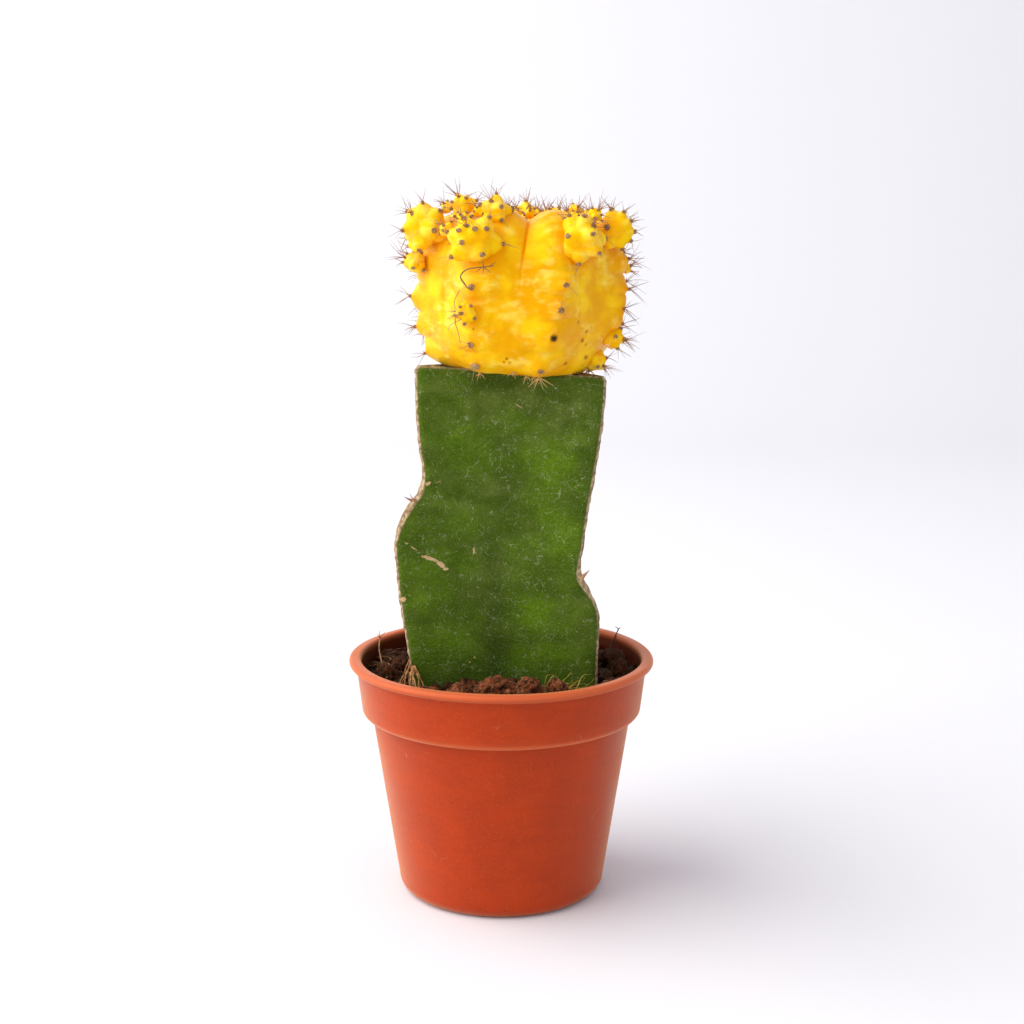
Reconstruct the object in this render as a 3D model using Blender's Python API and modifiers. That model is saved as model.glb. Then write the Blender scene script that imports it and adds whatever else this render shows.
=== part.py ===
"""A grafted moon cactus in a small plastic nursery pot.

A yellow, chlorophyll-free globe cactus (the scion) with its offsets sits on the flat cut of a green
three-winged cactus stem (the rootstock), which is planted in peat in a tapered pot with a collar.
Everything is in metres, +Z up. The origin is the middle of the pot's foot, and the camera side is -Y.
"""

import math

import bmesh
import bpy
from mathutils import Matrix, Vector, noise

MM = 0.001
GAP = 0.3  # clearance between touching pieces, in mm like every size below

# Pot: turned about Z, outside sizes
RIM_RADIUS = 27.5
POT_HEIGHT = 43.4
WALL = 0.85
LIP_THICKNESS = 1.35
COLLAR_TOP_RADIUS = 26.2
COLLAR_FOOT_RADIUS = 25.3
COLLAR_HEIGHT = 10.4
BODY_TOP_RADIUS = 23.5
BASE_RADIUS = 18.8
BASE_FILLET = 2.4
FOOT_OUTER_RADIUS = BASE_RADIUS - BASE_FILLET
FOOT_INNER_RADIUS = 14.2
FOOT_HEIGHT = 1.0
FLOOR_TOP = 2.0
POT_STEPS = 56
DRAIN_RADIUS = 2.2
DRAIN_CIRCLE = 9.0
DRAIN_COUNT = 5

# Soil
SOIL_TOP = 39.0
SOIL_BUMP = 0.5
SOIL_BUMP_SIZE = 4.0
SOIL_STEPS = 36
MOUND_HEIGHT = 1.9
MOUND_PLACE = (2.0, -15.0)
MOUND_REACH = (8.0, 4.0)
CRUMB_BUMP = 0.28

# Rootstock: reach of each wing at heights, from the buried end up to the graft cut
STEM_FOOT = 9.0
CUT_HEIGHT = 95.7
CUT_TILT = -0.058  # the cut drops this much for each mm to the right
WING_FRONT = -9.5  # how far in front of the axis the two front wings stand
MARGIN_HALF_THICKNESS = 1.5
FACE_HOLLOW = 2.3
STEM_LEVELS = 30
FACE_STEPS = 9
LEFT_WING = [
    (9, -12.0), (20, -14.5), (34, -15.4), (41, -15.6), (48, -16.6), (55, -17.6), (61, -18.2),
    (65.5, -18.5), (69, -17.7), (72, -16.2), (74.5, -14.3), (77.6, -13.5), (82, -14.0), (88, -14.6),
    (98, -14.6),
]
RIGHT_WING = [
    (9, 12.0), (20, 15.0), (34, 16.4), (46, 16.9), (51, 17.1), (54, 16.8), (57, 15.5), (59.5, 14.1),
    (62, 13.7), (67, 14.4), (72, 15.1), (78, 16.1), (84, 17.0), (90, 17.6), (98, 17.9),
]
BACK_WING = [
    (9, 13.0), (20, 16.2), (30, 17.4), (40, 18.3), (44, 17.7), (47, 16.4), (50, 17.0), (58, 18.0),
    (68, 18.9), (76, 19.3), (80, 18.3), (83, 16.7), (86, 17.2), (91, 18.1), (98, 18.2),
]
BACK_WING_SIDE = [(9, 0.5), (40, 0.2), (65, -1.2), (98, 1.4)]

# Scion: (radius, height) of its outline from the middle of the graft up to the crown
SCION_X = 3.6
SCION_Y = 0.0
SCION_OUTLINE = [
    (0.0, 95.1), (5.0, 95.1), (9.8, 95.1), (13.2, 95.8), (15.8, 98.4), (17.6, 102.8), (18.2, 108.5),
    (18.0, 114.4), (16.6, 119.4), (13.4, 122.7), (8.6, 124.1), (4.0, 123.4), (0.0, 122.6),
]
FLANK = (3.0 / 12, 9.0 / 12)  # shares of the outline between the graft's edge and the shoulder
RIBS = [-79, -28, 22, 68, 112, 158, 204, 240]  # azimuth of each crest in degrees, 0 towards -Y
RIB_DEPTH = 1.3
SCION_SEGMENTS = 56
SCION_RINGS = 24

# Offsets: name, azimuth, distance from the scion's axis, height, radius
OFFSETS = [
    ("offset_left_shoulder", -66, 17.5, 119.7, 3.5),
    ("offset_left_flank", -70, 19.5, 113.8, 2.1),
    ("offset_front_left", -27, 18.3, 116.7, 4.2),
    ("offset_top_left", -48, 13.5, 123.7, 2.4),
    ("offset_top_front", -18, 14.2, 122.8, 2.7),
    ("offset_front_right", 33, 18.6, 117.3, 3.9),
    ("offset_right_shoulder", 62, 18.6, 119.4, 2.7),
    ("offset_top_right", 62, 14.2, 122.6, 1.5),
    ("offset_right_flank", 80, 18.8, 112.7, 1.1),
    ("offset_right_low", 70, 17.2, 100.7, 2.1),
    ("offset_right_foot", 68, 13.9, 97.5, 1.7),
    ("offset_front_small", -31, 18.2, 104.7, 1.75),
    ("offset_back_right", 150, 17.5, 118.5, 3.4),
    ("offset_back_left", -155, 17.8, 116.2, 4.0),
    ("offset_right_rear", 112, 17.6, 119.0, 2.5),
    ("offset_left_rear", -108, 18.0, 117.2, 3.0),
    ("offset_crown_rear", 176, 13.6, 123.2, 2.2),
    ("offset_back_low", -112, 17.3, 103.0, 1.9),
]
OFFSET_SEGMENTS = 16
OFFSET_RINGS = 9
OFFSET_RIBS = 8
OFFSET_RIB_DEPTH = 0.06

# Spine tufts on the scion: rib azimuth and the heights of the areoles that carry one
SPINE_TUFTS = [
    (-79, (107.7, 102.8, 98.0)),
    (-28, (109.6, 97.6)),
    (22, (110.4, 105.8, 97.0)),
    (68, (109.4, 105.3)),
    (112, (110.4, 105.0, 98.8)),
    (158, (110.2, 104.6, 98.6)),
    (204, (108.6, 102.0)),
    (240, (111.0, 98.4)),
]
PAD_RADIUS = 0.62
PAD_HEIGHT = 0.32
SPINE_LENGTH = 3.6
SPINE_SPREAD = 0.62

# Stem thorns: wing, height of the notch, length
STEM_THORNS = [("left", 72.6, 1.9), ("right", 59.4, 2.2), ("back", 83.4, 2.0)]

# Peat crumbs: x, y, radius
CRUMBS = [
    (-1.6, -17.2, 2.4), (4.4, -17.0, 2.3), (9.8, -15.6, 2.0), (-7.4, -17.2, 2.1), (-12.0, -16.2, 1.7),
    (-16.4, -15.4, 1.6), (-20.4, -6.2, 1.8), (-18.4, 1.2, 1.9), (20.6, -4.6, 2.0), (20.6, 2.2, 2.1),
    (17.6, -13.4, 1.6),
]

# Dry roots: name, radius, points along it
ROOTS = [
    ("root_left_outer", 0.26, [
        (-16.7, -10.3, 44.8), (-17.4, -11.4, 43.2), (-17.5, -12.0, 41.6), (-17.4, -12.2, 40.4),
    ]),
    ("root_left_inner", 0.24, [
        (-15.5, -11.2, 44.6), (-14.9, -12.2, 43.1), (-14.2, -12.9, 41.7), (-13.8, -13.0, 40.5),
    ]),
    ("dry_twig_left", 0.22, [
        (-22.6, 8.0, 43.8), (-22.4, 4.5, 42.9), (-21.9, 1.0, 41.8), (-21.2, -2.5, 40.8),
    ]),
    ("root_right_front", 0.18, [
        (9.5, -17.9, 41.7), (12.6, -16.0, 42.5), (15.2, -13.8, 43.1), (17.3, -11.0, 43.6),
    ]),
]
ROOT_POINTS = 9

COLOURS = {
    "pot": ((0.62, 0.13, 0.045), 0.48),
    "soil": ((0.045, 0.018, 0.009), 0.95),
    "rootstock": ((0.045, 0.13, 0.02), 0.45),
    "scion": ((0.92, 0.50, 0.01), 0.38),
    "offset": ((0.93, 0.42, 0.01), 0.38),
    "spine": ((0.30, 0.17, 0.10), 0.6),
    "thorn": ((0.33, 0.22, 0.13), 0.6),
    "root": ((0.40, 0.25, 0.09), 0.8),
}


def clear_scene():
    for obj in list(bpy.data.objects):
        bpy.data.objects.remove(obj)


def collection(name):
    made = bpy.data.collections.new(name)
    bpy.context.scene.collection.children.link(made)
    return made


def material(kind):
    """A Principled material for one kind of piece, made once."""
    if kind in bpy.data.materials:
        return bpy.data.materials[kind]
    (red, green, blue), roughness = COLOURS[kind]
    made = bpy.data.materials.new(kind)
    made.use_nodes = True
    shader = made.node_tree.nodes["Principled BSDF"]
    shader.inputs["Base Color"].default_value = (red, green, blue, 1.0)
    shader.inputs["Roughness"].default_value = roughness
    shader.inputs["Metallic"].default_value = 0.0
    return made


def add_object(name, bm, kind, group):
    """The bmesh, in millimetres, as a named object in metres with its material."""
    bmesh.ops.scale(bm, vec=(MM, MM, MM), verts=bm.verts)
    mesh = bpy.data.meshes.new(name)
    bm.to_mesh(mesh)
    bm.free()
    mesh.shade_smooth()
    mesh.set_sharp_from_angle(angle=math.radians(35))
    obj = bpy.data.objects.new(name, mesh)
    group.objects.link(obj)
    if kind:
        mesh.materials.append(material(kind))
    return obj


def as_cutter(obj):
    obj.hide_render = True
    obj.display_type = "WIRE"
    return obj


def cut(obj, cutter):
    modifier = obj.modifiers.new("clear_" + cutter.name, "BOOLEAN")
    modifier.operation = "DIFFERENCE"
    modifier.object = cutter


def smooth(points, key):
    """The value at key on a smooth curve through (key, value) points."""
    last = len(points) - 1
    i = 0
    while i < last - 1 and key > points[i + 1][0]:
        i += 1
    (k0, v0), (k1, v1) = points[i], points[i + 1]
    before = points[max(i - 1, 0)]
    after = points[min(i + 2, last)]
    slope0 = (v1 - before[1]) / (k1 - before[0])
    slope1 = (after[1] - v0) / (after[0] - k0)
    span = k1 - k0
    t = min(max((key - k0) / span, 0.0), 1.0)
    rise = v1 - v0
    ease = t * t * (3 - 2 * t)
    return v0 + rise * ease + span * (slope0 * t * (1 - t) ** 2 - slope1 * t * t * (1 - t))


def arc(centre_radius, centre_height, radius, start, end, steps):
    """Profile points on a round corner, with angles in degrees from +X towards +Z."""
    angles = [math.radians(start + (end - start) * i / steps) for i in range(steps + 1)]
    return [(centre_radius + radius * math.cos(a), centre_height + radius * math.sin(a)) for a in angles]


def turned(name, profile, steps, kind, group):
    """A solid of revolution: the (radius, height) profile with a Screw modifier."""
    bm = bmesh.new()
    points = [bm.verts.new((radius, 0, height)) for radius, height in profile]
    for first, second in zip(points, points[1:]):
        bm.edges.new((first, second))
    obj = add_object(name, bm, kind, group)
    screw = obj.modifiers.new("turn", "SCREW")
    screw.steps = steps
    screw.render_steps = steps
    screw.use_merge_vertices = True
    screw.merge_threshold = 0.00001
    screw.use_smooth_shade = True
    return obj


# Pot ------------------------------------------------------------------------------------------


def pot_inside():
    """The inside of the pot from the middle of the floor up to the lip."""
    step_height = POT_HEIGHT - COLLAR_HEIGHT + WALL
    floor_radius = BASE_RADIUS - WALL - 2.2
    return [
        (0.0, FLOOR_TOP),
        *arc(floor_radius, FLOOR_TOP + 2.0, 2.0, -90, -10, 4),
        (BODY_TOP_RADIUS - WALL, step_height - 0.6),
        (BODY_TOP_RADIUS - WALL + 0.6, step_height),
        (COLLAR_FOOT_RADIUS - WALL - 0.7, step_height + 0.3),
        (COLLAR_FOOT_RADIUS - WALL, step_height + 1.0),
        (COLLAR_TOP_RADIUS - WALL, POT_HEIGHT - 0.9),
    ]


def pot_profile():
    """Up the inside, over the lip, down the outside and in over the foot ring."""
    lip_middle = POT_HEIGHT - LIP_THICKNESS / 2
    collar_foot = POT_HEIGHT - COLLAR_HEIGHT
    lip = [
        *arc(COLLAR_TOP_RADIUS - WALL + 0.6, POT_HEIGHT - 0.6, 0.6, 170, 90, 3),
        *arc(RIM_RADIUS - LIP_THICKNESS / 2, lip_middle, LIP_THICKNESS / 2, 90, -90, 6),
        (COLLAR_TOP_RADIUS + 0.15, POT_HEIGHT - LIP_THICKNESS - 0.05),
        (COLLAR_TOP_RADIUS, POT_HEIGHT - LIP_THICKNESS - 0.4),
    ]
    collar = [
        *arc(COLLAR_FOOT_RADIUS - 1.2, collar_foot + 1.3, 1.2, 0, -70, 4),
        (BODY_TOP_RADIUS, collar_foot),
        (BODY_TOP_RADIUS - 0.1, collar_foot - 0.5),
    ]
    foot = [
        *arc(BASE_RADIUS - BASE_FILLET, BASE_FILLET, BASE_FILLET, 0, -90, 6),
        (FOOT_INNER_RADIUS, 0.0),
        (FOOT_INNER_RADIUS - 0.5, FOOT_HEIGHT),
        (0.0, FOOT_HEIGHT),
    ]
    return pot_inside() + lip + collar + foot


def make_pot(group, cutters):
    pot = turned("pot", pot_profile(), POT_STEPS, "pot", group)
    for i in range(DRAIN_COUNT):
        angle = 2 * math.pi * (i + 0.5) / DRAIN_COUNT
        bm = bmesh.new()
        bmesh.ops.create_cone(
            bm, cap_ends=True, segments=16, radius1=DRAIN_RADIUS, radius2=DRAIN_RADIUS, depth=6.0
        )
        place = Vector((DRAIN_CIRCLE * math.cos(angle), DRAIN_CIRCLE * math.sin(angle), FLOOR_TOP))
        bmesh.ops.translate(bm, vec=place, verts=bm.verts)
        cut(pot, as_cutter(add_object(f"drain_cutter_{i + 1}", bm, None, cutters)))
    return pot


# Rootstock ------------------------------------------------------------------------------------


def wing_tip(wing, height):
    """Where the middle of a wing's margin stands at this height."""
    if wing == "left":
        return Vector((smooth(LEFT_WING, height), WING_FRONT, height))
    if wing == "right":
        return Vector((smooth(RIGHT_WING, height), WING_FRONT, height))
    return Vector((smooth(BACK_WING_SIDE, height), smooth(BACK_WING, height), height))


def stem_section(height, grow):
    """The stem's outline at a height: three rounded margins with a hollow face between each two."""
    tips = [wing_tip(wing, height) for wing in ("left", "right", "back")]
    middle = sum(tips, Vector()) / 3
    round_margin = MARGIN_HALF_THICKNESS + grow
    corners = []
    for tip in tips:
        outward = (tip - middle).normalized()
        centre = tip - outward * MARGIN_HALF_THICKNESS
        start = math.atan2(outward.y, outward.x)
        turns = [start + math.radians(turn) for turn in (-60, -25, 25, 60)]
        corners.append([centre + Vector((math.cos(a), math.sin(a), 0)) * round_margin for a in turns])
    outline = []
    for corner, following in zip(corners, corners[1:] + corners[:1]):
        outline += corner
        start, end = corner[-1], following[0]
        inward = (middle - (start + end) / 2).normalized()
        for i in range(1, FACE_STEPS):
            share = i / FACE_STEPS
            hollow = FACE_HOLLOW * math.sin(math.pi * share) ** 1.5
            outline.append(start.lerp(end, share) + inward * hollow)
    return outline


def rootstock_bmesh(grow=0.0):
    """The stem as a loft of its sections, from the buried foot to the tilted graft cut."""
    bm = bmesh.new()
    rings = []
    for level in range(STEM_LEVELS + 1):
        share = level / STEM_LEVELS
        height = STEM_FOOT - grow + share * (CUT_HEIGHT - STEM_FOOT + 2 * grow)
        outline = stem_section(height, grow)
        tilt = CUT_TILT * share**6
        rings.append([bm.verts.new((p.x, p.y, height + tilt * (p.x - 1.5))) for p in outline])
    for lower, upper in zip(rings, rings[1:]):
        for i, first in enumerate(lower):
            j = (i + 1) % len(lower)
            bm.faces.new((first, lower[j], upper[j], upper[i]))
    bm.faces.new(list(reversed(rings[0])))
    bm.faces.new(rings[-1])
    bmesh.ops.recalc_face_normals(bm, faces=bm.faces)
    return bm


# Soil -----------------------------------------------------------------------------------------


def soil_height(x, y):
    """Height of the peat's surface: bumpy, with a mound against the front of the stem."""
    bump = SOIL_BUMP * noise.noise(Vector((x, y, 0)) / SOIL_BUMP_SIZE)
    away = ((x - MOUND_PLACE[0]) / MOUND_REACH[0]) ** 2 + ((y - MOUND_PLACE[1]) / MOUND_REACH[1]) ** 2
    return SOIL_TOP + bump + MOUND_HEIGHT * math.exp(-away)


def soil_bmesh(grow=0.0):
    """Peat that fills the pot up to its watering gap, with a lumpy top."""
    side = [(max(radius - GAP, 0.0), height + GAP * (height < 8)) for radius, height in pot_inside()]
    side = [(radius + grow, height) for radius, height in side if height < SOIL_TOP - 1.5]
    side[0] = (0.0, side[0][1])
    edge = side[-1][0] + 0.25
    top = [(edge * share, SOIL_TOP + grow) for share in (1.0, 0.93, 0.84, 0.72, 0.6, 0.46, 0.32, 0.16, 0.0)]
    bm = bmesh.new()
    points = [bm.verts.new((radius, 0, height)) for radius, height in side + top]
    edges = [bm.edges.new(pair) for pair in zip(points, points[1:])]
    bmesh.ops.spin(
        bm, geom=points + edges, axis=(0, 0, 1), cent=(0, 0, 0), angle=2 * math.pi,
        steps=SOIL_STEPS, use_merge=True,
    )
    bmesh.ops.remove_doubles(bm, verts=bm.verts, dist=0.001)
    for vert in bm.verts:
        if vert.co.z > SOIL_TOP - 0.5:
            vert.co.z = soil_height(vert.co.x, vert.co.y) + grow
    bmesh.ops.recalc_face_normals(bm, faces=bm.faces)
    return bm


def make_crumb(number, x, y, radius, group):
    """One clump of peat fibre, half sunk in the soil."""
    bm = bmesh.new()
    bmesh.ops.create_icosphere(bm, subdivisions=2, radius=radius)
    for vert in bm.verts:
        vert.co *= 1 + CRUMB_BUMP * noise.noise(vert.co / radius * 1.7 + Vector((number * 7.3, 0, 0)))
    bmesh.ops.scale(bm, vec=(1.0, 0.9, 0.85), verts=bm.verts)
    bmesh.ops.translate(bm, vec=(x, y, soil_height(x, y) + radius * 0.55), verts=bm.verts)
    return add_object(f"peat_clump_{number:02d}", bm, "soil", group)


# Scion ----------------------------------------------------------------------------------------


def rib_crest(azimuth):
    """1 on a rib's crest, falling to 0 in the groove between two ribs."""
    turn = (azimuth - RIBS[0]) % 360
    crests = [(rib - RIBS[0]) % 360 for rib in RIBS] + [360]
    for crest, following in zip(crests, crests[1:]):
        if crest <= turn <= following:
            across = (turn - crest) / (following - crest)
            return abs(math.cos(math.pi * across)) ** 0.8
    return 1.0


def scion_point(azimuth, share, grow=0.0):
    """A point of the scion's skin. share runs from 0 in the middle of the graft to 1 in the crown."""
    last = len(SCION_OUTLINE) - 1
    radius = smooth([(i / last, point[0]) for i, point in enumerate(SCION_OUTLINE)], share)
    height = smooth([(i / last, point[1]) for i, point in enumerate(SCION_OUTLINE)], share)
    fade = math.sin(math.pi * min(max((share - 0.12) / 0.84, 0.0), 1.0)) ** 0.6
    radius += RIB_DEPTH * fade * (rib_crest(azimuth) - 0.75)
    middle = 110.0
    radius = max(radius + grow * math.sin(math.pi * share) ** 0.3, 0.0)
    height += grow * (1 if height > middle else -1) * (1 - math.sin(math.pi * share) ** 4)
    angle = math.radians(azimuth)
    across = radius * math.sin(angle)
    height += CUT_TILT * across * (1 - share) ** 2
    return Vector((SCION_X + across, SCION_Y - radius * math.cos(angle), height))


def flank_point(azimuth, height):
    """The point of the scion's flank at this height."""
    low, high = FLANK
    for _ in range(30):
        share = (low + high) / 2
        if scion_point(azimuth, share).z < height:
            low = share
        else:
            high = share
    return scion_point(azimuth, share)


def scion_bmesh(grow=0.0):
    bm = bmesh.new()
    bmesh.ops.create_uvsphere(bm, u_segments=SCION_SEGMENTS, v_segments=SCION_RINGS, radius=1.0)
    for vert in bm.verts:
        share = 0.5 + math.asin(max(-1.0, min(1.0, vert.co.z))) / math.pi
        azimuth = math.degrees(math.atan2(vert.co.x, -vert.co.y))
        vert.co = scion_point(azimuth, share, grow)
    return bm


def towards(direction):
    """A rotation that turns +Z to this direction."""
    return direction.to_track_quat("Z", "Y").to_matrix().to_4x4()


def make_offset(name, azimuth, distance, height, radius, group, scion_cutter):
    """A young plant on the scion: a small ribbed globe cut to the scion's skin."""
    angle = math.radians(azimuth)
    outward = Vector((math.sin(angle), -math.cos(angle), 0.35)).normalized()
    bm = bmesh.new()
    bmesh.ops.create_uvsphere(bm, u_segments=OFFSET_SEGMENTS, v_segments=OFFSET_RINGS, radius=radius)
    for vert in bm.verts:
        around = math.atan2(vert.co.y, vert.co.x)
        swell = 1 + OFFSET_RIB_DEPTH * math.cos(OFFSET_RIBS * around)
        vert.co.x *= swell
        vert.co.y *= swell
        vert.co.z *= 0.92
    centre = Vector((SCION_X + distance * math.sin(angle), SCION_Y - distance * math.cos(angle), height))
    bmesh.ops.transform(bm, matrix=Matrix.Translation(centre) @ towards(outward), verts=bm.verts)
    offset = add_object(name, bm, "offset", group)
    cut(offset, scion_cutter)
    return offset


# Spines and thorns ----------------------------------------------------------------------------


def tuft_bmesh(pad_radius, pad_height, length, directions):
    """A woolly pad with spines drawn out of its upper faces, standing on the XY plane."""
    bm = bmesh.new()
    bmesh.ops.create_icosphere(bm, subdivisions=2, radius=1.0)
    bmesh.ops.scale(bm, vec=(pad_radius, pad_radius, pad_height), verts=bm.verts)
    for direction in directions:
        bm.faces.ensure_lookup_table()
        aim = direction.normalized()
        pads = [face for face in bm.faces if not face.tag and face.calc_center_median().z > 0]
        face = max(pads, key=lambda found: found.normal.dot(aim))
        drawn = bmesh.ops.extrude_discrete_faces(bm, faces=[face])["faces"][0]
        centre = drawn.calc_center_median()
        for vert in drawn.verts:
            vert.co = centre + aim * length + (vert.co - centre) * 0.12
        for side in {linked for edge in drawn.edges for linked in edge.link_faces}:
            side.tag = True
    bmesh.ops.translate(bm, vec=(0, 0, pad_height), verts=bm.verts)
    bmesh.ops.recalc_face_normals(bm, faces=bm.faces)
    return bm


def fan(count, spread, turn):
    """Directions of the spines of one tuft: a ring leaning outwards by spread."""
    angles = [turn + 2 * math.pi * i / count for i in range(count)]
    return [Vector((math.cos(a) * spread, math.sin(a) * spread, 1.0)) for a in angles]


def make_tuft(name, foot, outward, bm, kind, group):
    bmesh.ops.transform(
        bm, matrix=Matrix.Translation(foot + outward * GAP) @ towards(outward), verts=bm.verts
    )
    return add_object(name, bm, kind, group)


def make_spine_tufts(group):
    number = 0
    for azimuth, heights in SPINE_TUFTS:
        for height in heights:
            number += 1
            foot = flank_point(azimuth, height)
            angle = math.radians(azimuth)
            lean = (height - 108) / 22
            outward = Vector((math.sin(angle), -math.cos(angle), lean)).normalized()
            directions = fan(5, SPINE_SPREAD, number * 1.1)
            bm = tuft_bmesh(PAD_RADIUS, PAD_HEIGHT, SPINE_LENGTH, directions)
            make_tuft(f"spine_tuft_{number:02d}", foot + outward * 0.1, outward, bm, "spine", group)


def make_stem_thorns(group):
    for wing, height, length in STEM_THORNS:
        tip = wing_tip(wing, height)
        middle = sum((wing_tip(each, height) for each in ("left", "right", "back")), Vector()) / 3
        outward = (tip - middle).normalized()
        bm = tuft_bmesh(0.9, 0.45, length, fan(3, 0.5, 0.4))
        make_tuft(f"stem_thorn_{wing}", tip + outward * 0.3, outward, bm, "thorn", group)


# Roots ----------------------------------------------------------------------------------------


def make_root(name, radius, points, group):
    """A dry root: a tapered tube along a smooth line through its points."""
    curve = bpy.data.curves.new(name, "CURVE")
    curve.dimensions = "3D"
    curve.bevel_depth = radius * MM
    curve.bevel_resolution = 2
    curve.use_fill_caps = True
    spline = curve.splines.new("POLY")
    spline.points.add(ROOT_POINTS - 1)
    axes = [[(i, point[axis]) for i, point in enumerate(points)] for axis in range(3)]
    for i, point in enumerate(spline.points):
        along = (len(points) - 1) * i / (ROOT_POINTS - 1)
        point.co = (*(smooth(axis, along) * MM for axis in axes), 1.0)
        point.radius = 1.0 - 0.45 * i / (ROOT_POINTS - 1)
    curve.materials.append(material("root"))
    obj = bpy.data.objects.new(name, curve)
    group.objects.link(obj)
    return obj


def main():
    clear_scene()
    parts = collection("potted_moon_cactus")
    cutters = collection("cutters")
    make_pot(parts, cutters)
    stem_cutter = as_cutter(add_object("stem_cutter", rootstock_bmesh(GAP), None, cutters))
    soil_cutter = as_cutter(add_object("soil_cutter", soil_bmesh(GAP), None, cutters))
    scion_cutter = as_cutter(add_object("scion_cutter", scion_bmesh(GAP), None, cutters))
    soil = add_object("soil", soil_bmesh(), "soil", parts)
    cut(soil, stem_cutter)
    add_object("rootstock", rootstock_bmesh(), "rootstock", parts)
    scion = add_object("scion", scion_bmesh(), "scion", parts)
    cut(scion, stem_cutter)
    for row in OFFSETS:
        make_offset(*row, parts, scion_cutter)
    for number, (x, y, radius) in enumerate(CRUMBS, start=1):
        cut(make_crumb(number, x, y, radius, parts), soil_cutter)
    make_spine_tufts(parts)
    make_stem_thorns(parts)
    for name, radius, points in ROOTS:
        make_root(name, radius, points, parts)


main()
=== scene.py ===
"""The looks of a grafted moon cactus in a small plastic nursery pot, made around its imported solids.

Pieces are worked out in millimetres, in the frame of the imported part: the origin is the middle of the
pot's foot, +Z is up and -Y is the plant's front. Angles called azimuth are in degrees about the scion's
axis, with 0 at the front and 90 at the right.
"""

import math
import random

import bmesh
import bpy
import numpy as np
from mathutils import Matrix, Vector, noise


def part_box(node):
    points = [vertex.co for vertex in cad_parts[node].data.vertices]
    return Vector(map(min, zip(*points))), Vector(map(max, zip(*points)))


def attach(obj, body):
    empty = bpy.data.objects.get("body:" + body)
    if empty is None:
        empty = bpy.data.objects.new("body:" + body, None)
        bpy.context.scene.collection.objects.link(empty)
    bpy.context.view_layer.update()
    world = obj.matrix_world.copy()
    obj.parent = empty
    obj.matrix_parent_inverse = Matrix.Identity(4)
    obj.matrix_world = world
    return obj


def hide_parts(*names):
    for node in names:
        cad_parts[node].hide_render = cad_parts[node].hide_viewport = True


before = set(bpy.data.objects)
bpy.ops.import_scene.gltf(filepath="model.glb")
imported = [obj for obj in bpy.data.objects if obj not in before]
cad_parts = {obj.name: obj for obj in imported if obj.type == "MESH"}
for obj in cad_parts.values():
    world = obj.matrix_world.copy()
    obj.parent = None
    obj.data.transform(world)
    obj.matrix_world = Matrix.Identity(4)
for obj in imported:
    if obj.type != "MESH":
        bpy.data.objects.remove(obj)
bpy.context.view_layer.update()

bl_info = {
    "name": "Potted Moon Cactus",
    "version": (1, 0, 0),
    "blender": (4, 5, 0),
    "location": "View3D > Sidebar > Moon Cactus",
    "description": "Adds a grafted moon cactus in a nursery pot, and a pale studio to show it in",
    "category": "Add Mesh",
}

MM = 0.001
WELD_REACH = 0.01 * MM

# Pot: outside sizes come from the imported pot, the rest is how such pots are moulded
POT_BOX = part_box("pot")
RIM_RADIUS = POT_BOX[1].x / MM
POT_HEIGHT = POT_BOX[1].z / MM
POT_WALL = 0.85
LIP_THICKNESS = 1.35
COLLAR_TOP_RADIUS = 26.2
COLLAR_FOOT_RADIUS = 25.3
COLLAR_HEIGHT = 10.4
BODY_TOP_RADIUS = 23.5
BASE_RADIUS = 18.8
BASE_FILLET = 2.4
FOOT_INNER_RADIUS = 14.2
FOOT_HEIGHT = 1.0
FLOOR_TOP = 2.0
DRAIN_CIRCLE = 9.0
DRAIN_COUNT = 5
RING_SPACING = 1.8
# The inside gets a copy of the plastic with hardly any sheen, as painted shade
SHEEN_OUTSIDE, SHEEN_INSIDE = 0.50, 0.05

# Peat
SOIL_TOP = 39.0
SOIL_BUMP = 0.5
SOIL_BUMP_SIZE = 4.0
MOUND_HEIGHT = 1.9
MOUND_PLACE = (2.0, -15.0)
MOUND_REACH = (8.0, 4.0)
SIDE_BANK = 0.9
PEAT_AROUND = 180
PEAT_RINGS = 46
CRUMBS_WITHIN = 25.0
CRUMB_CENTRES_WITHIN = 24.6
FIBRES_WITHIN = 24.6
FIBRES_START_WITHIN = 23.0
PEAT_CLUMPS = [
    (-1.6, -17.2, 2.4), (4.4, -17.0, 2.3), (9.8, -15.6, 2.0), (-7.4, -17.2, 2.1), (-12.0, -16.2, 1.7),
    (-16.4, -15.4, 1.6), (-20.4, -6.2, 1.8), (-18.4, 1.2, 1.9), (20.6, -4.6, 2.0), (20.6, 2.2, 2.1),
    (17.6, -13.4, 1.6),
]

# Rootstock: reach of each wing at heights, from the buried end up to the graft cut
STEM_FOOT = 9.0
CUT_HEIGHT = 95.7
CUT_TILT = -0.058
WING_FRONT = -9.5
MARGIN_RADIUS = 1.2
FACE_HOLLOW = 2.3
LEFT_WING = [
    (9, -12.0), (20, -14.5), (34, -15.4), (41, -15.6), (48, -16.6), (55, -17.6), (61, -18.2),
    (65.5, -18.5), (69, -17.7), (72, -16.2), (74.5, -14.3), (77.6, -13.5), (82, -14.0), (88, -14.6),
    (98, -14.6),
]
RIGHT_WING = [
    (9, 12.0), (20, 15.0), (34, 16.4), (46, 16.9), (51, 17.1), (54, 16.8), (57, 15.5), (59.5, 14.1),
    (62, 13.7), (67, 14.4), (72, 15.1), (78, 16.1), (84, 17.0), (90, 17.6), (98, 17.9),
]
BACK_WING = [
    (9, 13.0), (20, 16.2), (30, 17.4), (40, 18.3), (44, 17.7), (47, 16.4), (50, 17.0), (58, 18.0),
    (68, 18.9), (76, 19.3), (80, 18.3), (83, 16.7), (86, 17.2), (91, 18.1), (98, 18.2),
]
BACK_WING_SIDE = [(9, 0.5), (40, 0.2), (65, -1.2), (98, 1.4)]
MARGIN_STEPS = 22
FACE_STEPS = 54

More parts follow.
